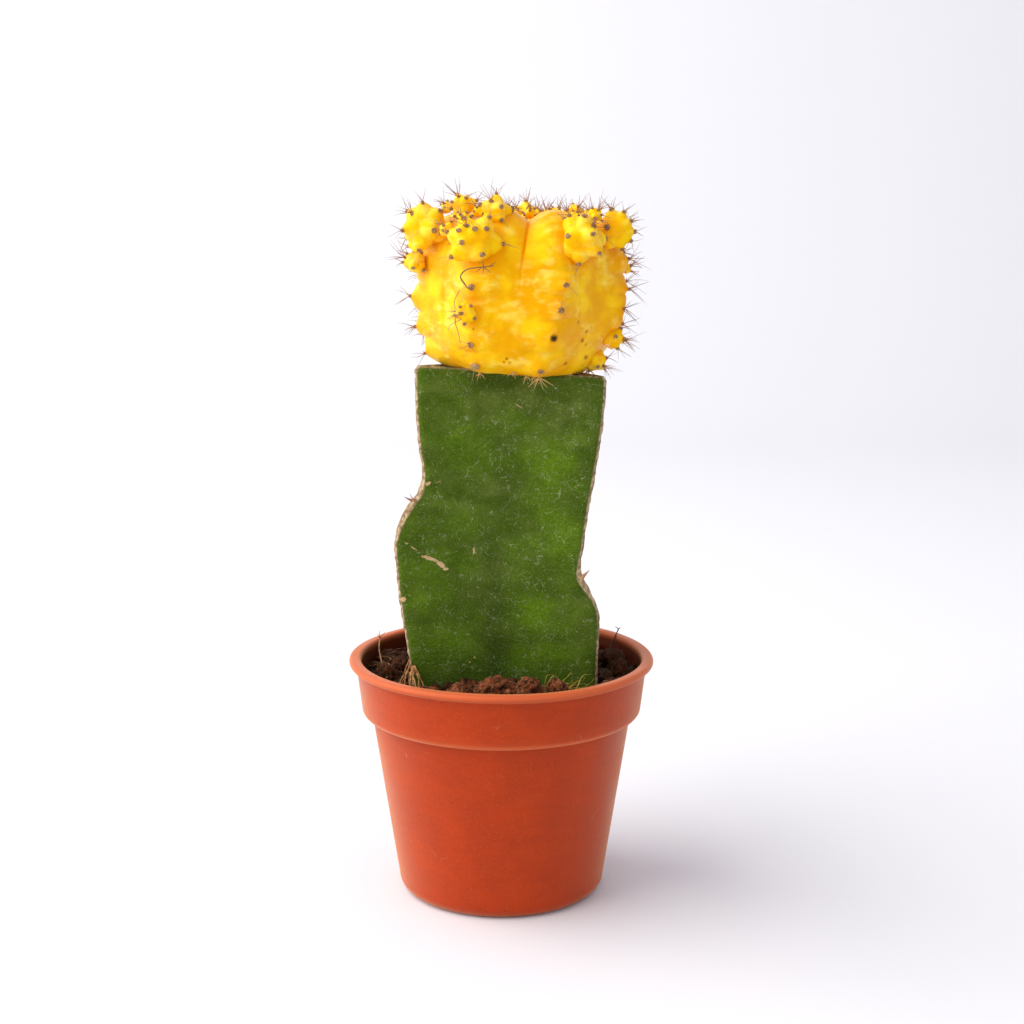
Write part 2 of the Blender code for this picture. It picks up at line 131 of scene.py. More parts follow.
# Stem areoles: wing, height, and the middle and length of the broad dry margin there
STEM_NOTCHES = [(0, 73.2, 71.8, 4.2), (1, 59.6, 58.8, 2.8), (2, 83.2, 82.0, 3.5), (2, 47.0, 46.0, 3.5)]

# Thorns in the notches: notch, sideways and upward lean, length, radius, straw share
STEM_THORNS = [
    (0, -0.30, 0.15, 1.9, 0.36, 0.0),
    (0, 0.20, 0.90, 2.2, 0.09, 0.3),
    (0, -0.10, 1.60, 2.0, 0.08, 0.2),
    (0, 0.50, 0.40, 1.7, 0.08, 0.4),
    (1, 0.10, 0.60, 2.1, 0.50, 0.25),
    (1, 0.50, 1.10, 1.2, 0.12, 0.2),
    (2, 0.30, 0.30, 2.0, 0.32, 0.1),
    (2, -0.40, 0.60, 1.6, 0.12, 0.3),
    (3, 0.10, 0.50, 2.0, 0.34, 0.1),
    (3, -0.30, -0.20, 1.6, 0.14, 0.3),
]

# Patches on the stem: across, height, half width, half height and strength
LUSH_PATCHES = [
    (8.1, 80.3, 4.6, 3.8, 0.8), (10.3, 67.2, 2.8, 3.6, 0.8), (6.3, 53.0, 4.0, 2.8, 0.75),
    (-6.1, 84.8, 3.0, 4.0, 0.5), (-10.5, 48.4, 5.0, 3.0, 0.6), (-11.9, 60.9, 2.8, 3.0, 0.5),
    (-14.5, 56.4, 1.6, 2.2, 0.6), (-7.5, 69.0, 3.0, 3.0, 0.35), (7.0, 45.5, 5.0, 2.5, 0.5),
]
# Dull patches along the middle of the front face, where its hollow is deepest, are painted shade; the wide
# one at 38 mm darkens the stem just above the peat; the rest are darker green skin
DULL_AND_SHADE_PATCHES = [
    (-1.4, 58.0, 2.4, 15.0, 0.95), (-1.0, 45.0, 2.6, 6.0, 0.5), (4.6, 92.2, 8.0, 3.2, 0.85),
    (14.6, 57.6, 2.2, 4.2, 0.8), (13.0, 88.0, 4.0, 4.0, 0.5), (-12.4, 91.0, 3.0, 3.5, 0.3),
    (15.5, 78.0, 1.5, 9.0, 0.4), (1.2, 76.0, 2.4, 7.0, 0.4), (0.0, 38.0, 14.0, 3.5, 0.7),
]
HAZY_PATCHES = [
    (-3.5, 73.5, 4.0, 5.0, 0.6), (2.5, 88.0, 7.0, 4.0, 0.55), (-11.0, 73.0, 3.0, 4.0, 0.5),
    (-2.0, 62.0, 3.0, 9.0, 0.4), (12.8, 86.0, 3.0, 6.0, 0.45), (-12.0, 88.0, 3.0, 6.0, 0.4),
    (3.0, 66.0, 3.0, 5.0, 0.35), (13.0, 55.0, 2.4, 4.0, 0.4), (-4.0, 48.0, 4.0, 4.0, 0.3),
    (0.0, 91.0, 15.0, 4.0, 0.3),
]

# Curved scratches on the stem: size, half width, how rare they are, and a shift of the noise
STEM_SCRATCHES = [(2.6, 0.022, 0.57, 1.0), (4.2, 0.026, 0.57, 30.0), (1.5, 0.016, 0.58, 47.0)]

# Short straight nicks: turn in degrees and a shift of the noise
STEM_NICKS = [(15, 71.0), (70, 83.0), (-40, 95.0), (-75, 107.0)]

# Scars and flakes on the stem's front: centre, half sizes and turn
STEM_SCARS = [
    ((-12.5, -8.0, 63.0), (1.9, 4.0, 0.36), 20),
    ((-10.6, -8.0, 61.9), (1.1, 4.0, 0.50), 38),
    ((-9.7, -8.0, 61.0), (0.55, 4.0, 0.38), 10),
    ((-15.2, -8.5, 64.9), (0.9, 4.0, 0.12), 34),
    ((-16.4, -8.5, 65.9), (0.4, 4.0, 0.12), 30),
    ((-4.8, -7.5, 64.1), (0.20, 4.0, 0.75), 5),
    ((-12.6, -8.5, 76.4), (0.75, 4.0, 0.26), -35),
    ((-10.9, -8.5, 76.6), (0.6, 4.0, 0.08), -25),
    ((-17.1, -9.0, 55.9), (0.55, 4.0, 0.6), 0),
    ((3.0, -7.5, 89.6), (0.9, 4.0, 0.12), 28),
    ((-4.7, -7.5, 44.9), (0.26, 4.0, 0.18), 30),
    ((-5.6, -7.5, 44.1), (0.18, 4.0, 0.18), 0),
    ((9.0, 5.0, 70.0), (2.0, 3.0, 0.5), 20),
    ((-9.0, 6.0, 58.0), (1.4, 3.0, 0.6), -30),
]

# Scion: (radius, height) of its outline from the middle of the graft up to the sunken crown
SCION_X = 3.6
SCION_OUTLINE = [
    (0.0, 95.1), (5.0, 95.1), (9.8, 95.1), (13.2, 95.8), (15.8, 98.4), (17.6, 102.8), (18.2, 108.5),
    (18.0, 114.4), (16.6, 118.9), (13.3, 121.7), (8.6, 122.2), (4.0, 121.4), (0.0, 120.8),
]
SCION_CORE = np.array((SCION_X, 0.0, 104.0))
SHOULDER, FOOT = 0.75, 0.25  # shares of the outline where the flank starts and ends
RIB_DEPTH = 1.3
CHIN_SWELL = 0.80
CHIN_WIDTH = 2.4
CHIN_DROP, CHIN_RISE = 2.5, 1.5
POINT_SWELL = 0.42
CREASE_DEPTH = 0.45
CREASE_RISE = 2.4
FOLD_DEPTH = 0.45
FOLD_WIDTH = 0.24
NOTCH_DEPTH = 1.25
LOBE_SWELL = 0.85
FAN_DEPTH = 0.13
FAN_SPACING = 2.3
SCAB_RADIUS = 0.68
SCION_AROUND = 360
SCION_ALONG = 200
FRONT_DENSITY = 0.45  # how much closer the meridians stand at the front

# Ribs of the scion: azimuth at the shoulder, azimuth at the foot, heights of the areoles, chin size
SCION_RIBS = [
    (-79, -74, (108.0, 102.9, 98.7), 1.15),
    (-21, -32, (110.4, 105.8, 100.9, 97.3), 0.75),
    (30, 9, (110.9, 106.9, 102.5, 97.1), 1.05),
    (74, 62, (114.6, 109.8, 106.6, 104.2), 1.2),
    (112, 108, (115.2, 110.4, 105.6, 100.6), 1.2),
    (158, 155, (114.8, 110.2, 105.2, 100.2), 1.1),
    (204, 208, (113.5, 108.6, 103.6, 99.0), 1.2),
    (240, 246, (116.0, 111.0, 105.8, 100.4), 1.3),
]

# Azimuths of the straw-coloured tufts round the scion's foot, against the graft
FOOT_TUFTS = [-60, -33, -7, 3, 9, 12, 43, 58, 88, 118, 146, 176, 205, 232, 262]
PAPERY_TUFT = 12

# Azimuths and outline shares of the areoles that lie bare on the crown
CROWN_SPOTS = [
    (-98, 0.83), (-70, 0.90), (-38, 0.92), (8, 0.95), (38, 0.88), (60, 0.93), (62, 0.83), (96, 0.84),
    (118, 0.90), (150, 0.83), (168, 0.92), (196, 0.84), (224, 0.90), (250, 0.84), (282, 0.92),
]

# Azimuth of the front fold at shares of the outline
FRONT_FOLD = [(0.45, -3.5), (0.55, -1.5), (0.62, 0.5), (0.70, 3.0), (0.78, 5.5), (0.90, 7.0), (1.0, 7.0)]

# Shallow folds beside the ribs: azimuth, where they start and end along the outline, and depth
UPRIGHT_FOLDS = [
    (33, 0.46, 0.66, 0.35), (-50, 0.40, 0.72, 0.3), (93, 0.40, 0.74, 0.4), (-100, 0.40, 0.74, 0.4),
    (135, 0.42, 0.76, 0.4), (182, 0.42, 0.76, 0.45),
]

# Small brown stains on the scion: azimuth, height and radius
SCION_STAINS = [
    (39, 101.4, 0.36), (41, 102.9, 0.30), (43, 100.6, 0.26), (47, 98.4, 0.55), (29, 97.6, 0.34),
    (-10, 98.4, 0.26), (-12, 97.8, 0.22), (-8.5, 97.7, 0.22), (32.6, 104.5, 0.22), (-27, 103.4, 0.2),
    (98, 104.0, 0.4), (140, 99.5, 0.35), (171, 108.0, 0.3), (222, 101.0, 0.4), (255, 99.5, 0.35),
]

# Offsets, as shares of their radius: the body without its knobs, each knob, and the point on it
OFFSET_CORE = 0.75
KNOB_SWELL = 0.29
TIP_SWELL = 0.07

# Offsets: CAD node or None, place, radius, knobs in a ring
OFFSETS = [
    ("offset_left_shoulder", (-12.7, -8.2, 120.1), 4.05, 5),
    ("offset_left_flank", (-14.6, -7.0, 113.9), 2.1, 4),
    ("offset_front_left", (-4.3, -16.0, 117.8), 4.5, 6),
    ("offset_top_left", (-6.4, -10.0, 123.5), 2.2, 5),
    ("offset_top_front", (-1.2, -13.0, 122.5), 2.8, 5),
    ("offset_front_right", (13.4, -15.0, 118.2), 4.1, 6),
    ("offset_right_shoulder", (19.0, -8.4, 119.5), 3.3, 7),
    ("offset_top_right", (15.7, -11.0, 122.1), 1.25, 4),
    ("offset_right_flank", (21.5, -3.0, 112.8), 1.0, 4),
    ("offset_right_low", (18.9, -6.0, 101.3), 2.2, 5),
    ("offset_right_foot", (16.3, -6.4, 97.2), 1.9, 4),
    ("offset_front_small", (-5.7, -16.5, 106.0), 2.0, 5),
    ("offset_back_right", (12.3, 15.2, 118.4), 3.4, 6),
    ("offset_back_left", (-3.9, 16.1, 116.2), 4.0, 6),
    ("offset_right_rear", (19.9, 6.6, 118.8), 2.5, 5),
    ("offset_left_rear", (-13.5, 5.6, 117.2), 3.0, 5),
    ("offset_crown_rear", (4.5, 13.0, 122.0), 2.2, 5),
    ("offset_back_low", (-12.4, 6.5, 103.0), 1.9, 5),
    (None, (-9.1, -9.8, 123.2), 1.1, 3),
    (None, (-3.7, -13.6, 122.6), 1.1, 3),
    (None, (1.3, -11.6, 122.9), 0.8, 3),
    (None, (-6.3, -14.6, 121.4), 1.3, 3),
    (None, (-8.9, -13.2, 119.6), 1.4, 3),
    (None, (4.9, -4.0, 122.1), 1.0, 3),
    (None, (6.4, -3.0, 121.9), 1.1, 3),
    (None, (8.0, -4.2, 122.2), 0.9, 3),
    (None, (9.4, -3.4, 122.3), 1.1, 3),
    (None, (2.6, -5.6, 122.3), 0.9, 3),
    (None, (12.4, -9.4, 121.8), 1.0, 3),
    (None, (-0.7, -1.6, 121.9), 1.3, 4),
    (None, (6.1, 4.3, 121.8), 1.4, 4),
    (None, (12.9, 2.5, 122.2), 1.5, 4),
    (None, (-5.2, 5.1, 122.3), 1.6, 4),
    (None, (15.0, 10.3, 121.2), 1.7, 4),
    (None, (-7.0, 11.7, 120.8), 1.9, 4),
    (None, (20.0, -1.8, 120.4), 1.5, 4),
    (None, (-12.8, 0.6, 121.2), 1.8, 4),
]

# Knobs that show on the larger offsets, as (right, up) shares of the radius seen from the front
FRONT_KNOBS = {
    "offset_left_shoulder": [
        (-0.12, 0.90), (-0.86, -0.10), (0.90, -0.36), (-0.25, -0.86), (0.55, 0.62), (0.30, -0.15),
    ],
    "offset_left_flank": [(0.40, 0.80), (-0.92, 0.10), (-0.60, 0.70), (-0.15, -0.25), (0.6, -0.5)],
    "offset_front_left": [
        (-0.42, 0.78), (0.45, 0.80), (-0.52, 0.40), (0.0, 0.46), (0.40, 0.42), (-0.42, 0.02),
        (0.24, -0.38), (-0.80, -0.52), (0.95, -0.08), (-0.92, 0.30),
    ],
    "offset_front_right": [
        (-0.55, 0.12), (0.36, 0.18), (0.62, -0.48), (-0.76, -0.60), (-0.16, -0.90), (-0.50, 0.82),
        (0.06, 0.84),
    ],
    "offset_right_shoulder": [
        (0.45, 0.82), (0.96, -0.06), (0.38, -0.86), (-0.15, 0.95), (-0.30, -0.80), (0.80, 0.42),
        (0.78, -0.5),
    ],
    "offset_right_low": [(-0.2, 0.75), (0.7, 0.62), (0.92, -0.1), (0.45, -0.75), (-0.45, -0.3), (0.2, 0.1)],
    "offset_front_small": [(-0.5, 0.55), (0.3, 0.6), (0.6, -0.3), (-0.2, -0.7), (-0.85, -0.1)],
}

# Offsets whose crown is turned away from the scion's middle line
LEANING_CROWNS = {"offset_right_shoulder": (-0.50, -0.84, 0.22)}

# Dead spines that cling to the front: points of the path, radius at its ends, share of olive
DEAD_SPINES = [
    ([(-5.9, -18.5, 110.8), (-6.7, -18.8, 112.2), (-5.8, -18.9, 113.3), (-4.1, -19.3, 113.7),
      (-2.9, -19.5, 113.8), (-1.2, -19.3, 114.0)], 0.14, 0.09, 1.0),
    ([(-4.7, -18.2, 109.9), (-5.5, -18.4, 110.3), (-6.2, -18.6, 111.2)], 0.07, 0.14, 0.9),
    ([(-2.9, -19.5, 113.8), (-3.1, -20.0, 114.8)], 0.12, 0.04, 0.9),
    ([(-2.9, -19.5, 113.8), (-1.7, -20.0, 112.9)], 0.12, 0.04, 0.9),
    ([(-2.9, -19.5, 113.8), (-3.0, -20.1, 112.7)], 0.12, 0.04, 0.9),
    ([(-3.2, -19.5, 113.8), (-4.1, -20.0, 113.0)], 0.10, 0.04, 0.9),
    ([(-2.0, -19.5, 113.9), (-0.9, -19.8, 114.6)], 0.10, 0.04, 0.8),
    ([(-6.9, -17.8, 109.9), (-7.7, -18.3, 108.3), (-7.6, -18.1, 106.9)], 0.08, 0.05, 0.1),
    ([(-7.4, -18.0, 106.0), (-7.6, -18.4, 104.7), (-7.1, -18.2, 103.0), (-6.8, -17.8, 101.3)],
     0.09, 0.05, 0.1),
    ([(-6.6, -18.0, 105.2), (-8.2, -18.5, 104.4), (-8.9, -18.4, 103.5)], 0.07, 0.04, 0.1),
]

# Dry twigs in the peat: piece, CAD nodes, material, colours, path, steps, radius at its ends, fork, tips
DRY_TWIGS = [
    ("dry_twig", ["dry_twig_left"], "Dry_twig", "#6a4428", "#a98255",
     [(-22.6, 8.0, 44.2), (-22.5, 4.5, 43.1), (-21.9, 1.0, 41.9), (-21.2, -2.5, 40.2)], 14, (0.10, 0.15),
     (-22.6, 8.0, 44.2), [(-23.2, 9.0, 44.9), (-21.7, 9.0, 45.1), (-22.7, 8.7, 45.5)]),
    ("dry_sprig", [], "Dead_sprig", "#2e1a14", "#5a3a2a",
     [(20.4, 11.6, 40.6), (20.9, 12.6, 42.0), (21.7, 13.8, 43.4), (22.2, 14.2, 44.4)], 12, (0.16, 0.10),
     (22.2, 14.2, 44.4), [(21.6, 14.2, 44.9), (22.6, 14.2, 44.7)]),
]

# Studio, in metres: a floor that sweeps up into a wall
SWEEP_FRONT = 0.9
SWEEP_BACK = 0.55
SWEEP_BEND = 0.35
SWEEP_HALF = 1.6
SWEEP_TOP = 1.6
PLANT_MIDDLE = (0, 0, 0.07)

# Square soft lights: name, the setting of its power, place, target, size and colour
LIGHTS = [
    ("window_left", "key", (-0.70, -0.10, 0.62), PLANT_MIDDLE, 1.25, "#fffaf4"),
    ("fill_right", "fill", (0.6, -0.45, 0.4), PLANT_MIDDLE, 0.7, "#f4f6ff"),
    ("fill_front", "front", (-0.1, -0.9, 0.7), PLANT_MIDDLE, 0.9, "#fffdfa"),
    ("backdrop_wash", "backdrop", (0, 0.2, 0.8), (0, 0.95, 0.35), 0.9, "#fbfaff"),
]
CAMERA_PLACE = (0.0, -0.3064, 0.126)
CAMERA_DIP = 10.44  # degrees below the horizon
CAMERA_SENSOR = 36.0
CAMERA_LENS = 61.24
CAMERA_SHIFT = 0.0104


# Numbers and shapes ----------------------------------------------------------------------------


def srgb(code):
    """Linear RGBA for an sRGB hex colour."""
    parts = [int(code[i:i + 2], 16) / 255 for i in (1, 3, 5)]
    linear = [part / 12.92 if part <= 0.04045 else ((part + 0.055) / 1.055) ** 2.4 for part in parts]
    return (*linear, 1.0)


def smooth(points, keys):
    """Values at keys on a smooth curve through (key, value) points."""
    knots, values = np.array(points, float).T
    slopes = np.empty_like(values)
    slopes[1:-1] = (values[2:] - values[:-2]) / (knots[2:] - knots[:-2])
    slopes[0] = (values[1] - values[0]) / (knots[1] - knots[0])
    slopes[-1] = (values[-1] - values[-2]) / (knots[-1] - knots[-2])
    i = np.clip(np.searchsorted(knots, keys, side="right") - 1, 0, len(knots) - 2)
    span = knots[i + 1] - knots[i]
    t = np.clip((keys - knots[i]) / span, 0, 1)
    rise = (values[i + 1] - values[i]) * t * t * (3 - 2 * t)
    return values[i] + rise + span * (slopes[i] * t * (1 - t) ** 2 - slopes[i + 1] * t * t * (1 - t))


def ease(values, low, high):
    """0 below low, 1 above high, and a smooth step between them."""
    t = np.clip((np.asarray(values, float) - low) / (high - low), 0, 1)
    return t * t * (3 - 2 * t)


def between(values, start, full, fading, end):
    """0 outside start and end, 1 from full to fading, with smooth steps between."""
    return ease(values, start, full) * (1 - ease(values, fading, end))


def bell(distance, width, power=2):
    """1 where the distance is 0, and fading to 0 a few widths away."""
    return np.exp(-(distance / width) ** power)


def lumps(points, size, seed=0.0):
    """Smooth noise from about -1 to 1 at an array of points, with lumps of this size in mm."""
    return np.array([noise.noise(Vector(point)) for point in np.asarray(points) / size + seed])


def unit(vectors):
    """The vectors at length 1."""
    return vectors / np.linalg.norm(vectors, axis=-1, keepdims=True)


def turned_to(direction):
    """A 3 x 3 matrix whose third column is the direction."""
    z = unit(np.asarray(direction, float))
    x = unit(np.cross((0.0, 0.0, 1.0) if abs(z[2]) < 0.9 else (1.0, 0.0, 0.0), z))
    return np.stack([x, np.cross(z, x), z], -1)


def arc(centre_radius, centre_height, radius, start, end, steps):
    """Profile points on a round corner, with angles in degrees from +X towards +Z."""
    angles = np.radians(np.linspace(start, end, steps + 1))
    return [(centre_radius + radius * math.cos(a), centre_height + radius * math.sin(a)) for a in angles]


def loft_faces(rings, around):
    """Quads between rings of points that run anticlockwise and go up."""
    ring, turn = np.meshgrid(np.arange(rings - 1), np.arange(around), indexing="ij")
    here = ring * around + turn
    beside = ring * around + (turn + 1) % around
    return np.stack([here, beside, beside + around, here + around], -1).reshape(-1, 4).tolist()


def add_piece(name, points, faces, look, stands_for=(), marks=None):
    """A smooth piece from points in millimetres, with its marks as attributes for its material."""
    mesh = bpy.data.meshes.new(name)
    mesh.from_pydata((np.asarray(points) * MM).tolist(), [], faces)
    for mark, values in (marks or {}).items():
        attribute = mesh.attributes.new(mark, "FLOAT", "POINT")
        attribute.data.foreach_set("value", np.asarray(values, np.float32))
    return add_object(name, mesh, look, stands_for)


def weld(piece, tidy=None):
    """Joins the points that meet at a piece's poles, after which tidy may change its faces."""
    bm = bmesh.new()
    bm.from_mesh(piece.data)
    bmesh.ops.remove_doubles(bm, verts=bm.verts, dist=WELD_REACH)
    if tidy:
        tidy(bm)
    bm.to_mesh(piece.data)
    bm.free()


def add_object(name, mesh, look, stands_for=()):
    """A piece from a mesh, which rides the plant and may stand for CAD nodes."""
    mesh.shade_smooth()
    mesh.materials.clear()
    mesh.materials.append(look)
    obj = bpy.data.objects.new(name, mesh)
    bpy.context.scene.collection.objects.link(obj)
    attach(obj, "root")
    if stands_for:
        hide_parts(*stands_for)
    return obj


class Gathered:
    """Points, faces and marks of many small shapes that become one piece."""

    def __init__(self):
        self.points = []
        self.faces = []
        self.marks = {}
        self.count = 0

    def add(self, points, faces, **marks):
        self.faces += [[corner + self.count for corner in face] for face in faces]
        self.points.append(points)
        self.count += len(points)
        for mark, values in marks.items():
            self.marks.setdefault(mark, []).append(np.broadcast_to(values, len(points)))

    def as_piece(self, name, look, slot, stands_for=()):
        marks = {mark: np.concatenate(values) for mark, values in self.marks.items()}
        return add_piece(name, np.concatenate(self.points), self.faces, look, stands_for, marks)

    def add_strand(self, path, radii, sides=4, **marks):
        """A closed tube along a path of points, with a radius at each."""
        path = np.asarray(path, float)
        run = unit(np.gradient(path, axis=0))
        side = unit(np.cross(run, (0.31, 0.22, 0.93)))
        other = np.cross(run, side)
        angles = 2 * math.pi * np.arange(sides) / sides
        rim = side[:, None] * np.cos(angles)[:, None] + other[:, None] * np.sin(angles)[:, None]
        points = (path[:, None] + rim * np.asarray(radii)[:, None, None]).reshape(-1, 3)
        faces = loft_faces(len(path), sides)
        faces.append(list(range(sides))[::-1])
        faces.append(list(range(len(points) - sides, len(points))))
        along = np.repeat(np.linspace(0, 1, len(path)), sides)
        self.add(points, faces, along=along, **marks)


def ball(levels):
    """Points and faces of a unit sphere made of even triangles."""
    bm = bmesh.new()
    bmesh.ops.create_icosphere(bm, subdivisions=levels, radius=1.0)
    points = np.array([vert.co for vert in bm.verts])
    faces = [[vert.index for vert in face.verts] for face in bm.faces]
    bm.free()
    return points, faces


def globe(around, along):
    """Points and faces of a unit sphere of meridians and parallels, from its foot up."""
    lean = math.pi * np.arange(1, along)[:, None] / along
    turn = 2 * math.pi * np.arange(around) / around
    flat = np.sin(lean)
    rings = np.stack(np.broadcast_arrays(flat * np.cos(turn), flat * np.sin(turn), -np.cos(lean)), -1)
    points = np.concatenate([rings.reshape(-1, 3), [(0, 0, -1), (0, 0, 1)]])
    faces = loft_faces(along - 1, around)
    foot, top = len(points) - 2, len(points) - 1
    last = (along - 2) * around
    for i in range(around):
        beside = (i + 1) % around
        faces.append([foot, beside, i])
        faces.append([top, last + i, last + beside])
    return points, faces


# Materials -------------------------------------------------------------------------------------


def node(tree, kind, inputs=None, out=0, **settings):
    """Adds a shader node, sets it up, fills its inputs with values or links, and gives one output."""
    made = tree.nodes.new("ShaderNode" + kind)
    for name, value in settings.items():
        setattr(made, name, value)
    for name, value in (inputs or {}).items():
        if isinstance(value, bpy.types.NodeSocket):
            tree.links.new(value, made.inputs[name])
        else:
            made.inputs[name].default_value = value
    return made.outputs[out]


def new_material(name, **sockets):
    """A Principled material with these constant values, and its tree and shader."""
    made = bpy.data.materials.new(name)
    made.use_nodes = True
    shader = made.node_tree.nodes["Principled BSDF"]
    for socket, value in sockets.items():
        shader.inputs[socket.replace("_", " ")].default_value = value
    return made, made.node_tree, shader


def finish(tree, shader, tone, relief=None, depth=0.0, roughness=None):
    """Gives the shader its colour, relief from 0 to 1 that is this many mm deep, and its roughness."""
    tree.links.new(tone, shader.inputs["Base Color"])
    if relief is not None:
        bump = node(tree, "Bump", {"Height": relief, "Distance": depth * MM, "Strength": 1.0})
        tree.links.new(bump, shader.inputs["Normal"])
    if roughness is not None:
        tree.links.new(roughness, shader.inputs["Roughness"])


def layers(tree, tone, rows):
    """Colours laid over a tone in turn, each row a mask or the name of a mark, a strength and a colour."""
    for mask, strength, colour in rows:
        if isinstance(mask, str):
            mask = node(tree, "Attribute", out="Fac", attribute_name=mask)
        if isinstance(colour, str):
            colour = srgb(colour)
        share = node(tree, "Math", {0: mask, 1: strength}, operation="MULTIPLY")
        tone = node(tree, "Mix", {0: share, 6: tone, 7: colour}, 2, data_type="RGBA")
    return tone


def strongest(tree, masks):
    """The highest of several masks at each place."""
    highest = masks[0]
    for mask in masks[1:]:
        highest = node(tree, "Math", {0: highest, 1: mask}, operation="MAXIMUM")
    return highest


def millimetres(tree):
    """The place on the piece as a vector in millimetres."""
    place = node(tree, "TexCoord", out="Object")
    return node(tree, "VectorMath", {0: place, "Scale": 1 / MM}, operation="SCALE")


def speckle(tree, place, size, low, high, detail=2.0, stretch=(1, 1, 1), turn=(0, 0, 0), shift=0.0):
    """A mask that is 1 where noise with grains of this size in mm rises from low to above high."""
    scale = tuple(1 / (size * share) for share in stretch)
    laid = node(tree, "Mapping", {0: place, "Rotation": turn, "Location": (shift, shift, shift)})
    laid = node(tree, "VectorMath", {0: laid, 1: scale}, operation="MULTIPLY")
    grain = node(tree, "TexNoise", {"Vector": laid, "Scale": 1.0, "Detail": detail})
    return node(tree, "MapRange", {0: grain, 1: low, 2: high}, interpolation_type="SMOOTHSTEP")


def blot(tree, place, centre, half, turn=0.0, ragged=0.25, grain=0.6):
    """A mask that is 1 inside an ellipse with a ragged edge, at this place in mm."""
    rough = node(tree, "TexNoise", {"Vector": place, "Scale": 1 / grain, "Detail": 3.0}, 1)
    rough = node(tree, "VectorMath", {0: rough, 1: (0.5, 0.5, 0.5)}, operation="SUBTRACT")
    moved = node(tree, "VectorMath", {0: rough, 1: (ragged * 4,) * 3, 2: place}, operation="MULTIPLY_ADD")
    ellipse = {0: moved, "Location": centre, "Rotation": (0, math.radians(turn), 0), "Scale": half}
    laid = node(tree, "Mapping", ellipse, vector_type="TEXTURE")
    reach = node(tree, "VectorMath", {0: laid}, "Value", operation="LENGTH")
    return node(tree, "MapRange", {0: reach, 1: 1.0, 2: 0.75}, interpolation_type="SMOOTHSTEP")


def hairlines(tree, place, size, width, keep, shift=0.0):
    """A mask of thin curved lines: level lines of noise, kept only here and there."""
    laid = node(tree, "Mapping", {0: place, "Location": (shift, shift, shift)})
    level = node(tree, "TexNoise", {"Vector": laid, "Scale": 1 / size, "Detail": 2.0})
    off = node(tree, "Math", {0: level, 1: 0.5}, operation="SUBTRACT")
    off = node(tree, "Math", {0: off}, operation="ABSOLUTE")
    line = node(tree, "MapRange", {0: off, 1: width / size, 2: 0.0}, interpolation_type="SMOOTHSTEP")
    kept = speckle(tree, place, size * 0.8, keep, keep + 0.06, detail=1.0, shift=shift + 20.0)
    return node(tree, "Math", {0: line, 1: kept}, operation="MULTIPLY")


def moulded_polypropylene(name, colour, sheen):
    """Injection-moulded polypropylene coloured terracotta: a soft sheen, dust and faint flow marks, a
    painted highlight on the lip and painted shade inside.
    """
    made, tree, shader = new_material(
        name, IOR=1.49, Specular_IOR_Level=0.22, Specular_Tint=(1.0, 0.78, 0.50, 1.0),
        Sheen_Weight=sheen, Sheen_Roughness=0.4, Sheen_Tint=(1.0, 0.60, 0.26, 1.0),
    )
    place = millimetres(tree)
    cloud = speckle(tree, place, 7.0, 0.32, 0.70, detail=5.0)
    flow = speckle(tree, place, 2.2, 0.40, 0.72, detail=4.0, stretch=(2.2, 2.2, 0.5), shift=3.0)
    dust = speckle(tree, place, 0.30, 0.50, 0.80, detail=4.0, shift=7.0)
    scratch = hairlines(tree, place, 5.0, 0.05, 0.66, 15.0)
    grit = speckle(tree, place, 0.6, 0.765, 0.79, detail=1.0, shift=11.0)
    tone = layers(tree, srgb("#a6310e"), [
        (cloud, 1.0, colour),
        (flow, 0.22, "#8c2c14"),
        (dust, 0.10, "#d9906c"),
        (scratch, 0.22, "#d48a68"),
        (grit, 0.7, "#4a1c0e"),
        # Painted highlight along the lip and the collar's lower corner
        ("worn", 0.45, "#e0784c"),
        # Painted shade inside the pot, darkening from just under the lip down
        ("inside", 0.92, "#4c1406"),
    ])
    grain = node(tree, "TexNoise", {"Vector": place, "Scale": 1 / 0.35, "Detail": 3.0})
    relief = node(tree, "Math", {0: grain, 1: scratch}, operation="ADD")
    finish(tree, shader, tone, relief, 0.04, node(tree, "MapRange", {0: cloud, 3: 0.36, 4: 0.48}))
    return made


def damp_peat(name, dark, light, fibre=0.35):
    """Damp peat: almost no sheen, dark hollows and paler, redder threads on the lumps, painted highlights on
    the crumbs' ridges and painted shade behind the front of the stem.
    """
    made, tree, shader = new_material(
        name, Roughness=0.7, IOR=1.35, Specular_IOR_Level=0.3, Specular_Tint=(1.0, 0.72, 0.5, 1.0))
    place = millimetres(tree)
    lump = speckle(tree, place, 1.0, 0.42, 0.62, detail=6.0)
    thread = speckle(
        tree, place, 0.42, 0.50, 0.64, detail=4.0, stretch=(2.6, 0.5, 0.5), turn=(0.4, 0.9, 0.3))
    # Painted shade: the peat is painted darker behind the strip in front of the stem, and only that strip,
    # where the light reaches it, keeps its lighter tone
    depth = node(tree, "SeparateXYZ", {0: place}, "Y")
    painted_shade_behind_front = node(tree, "MapRange", {0: depth, 1: -13.5, 2: -9.0, 3: 0.0, 4: 0.78})
    tone = layers(tree, dark, [
        (lump, 1.0, light),
        ("ridge", 0.9, "#c67a52"),
        # Painted highlights on the ridges of the crumbs and clods
        (thread, fibre, "#b97c58"),
        # Painted shade behind the front of the stem
        (painted_shade_behind_front, 1.0, dark),
    ])
    grain = node(tree, "TexNoise", {"Vector": place, "Scale": 1 / 0.4, "Detail": 6.0, "Roughness": 0.7})
    finish(tree, shader, tone, node(tree, "Math", {0: grain, 1: thread}, operation="ADD"), 0.35)
    return made


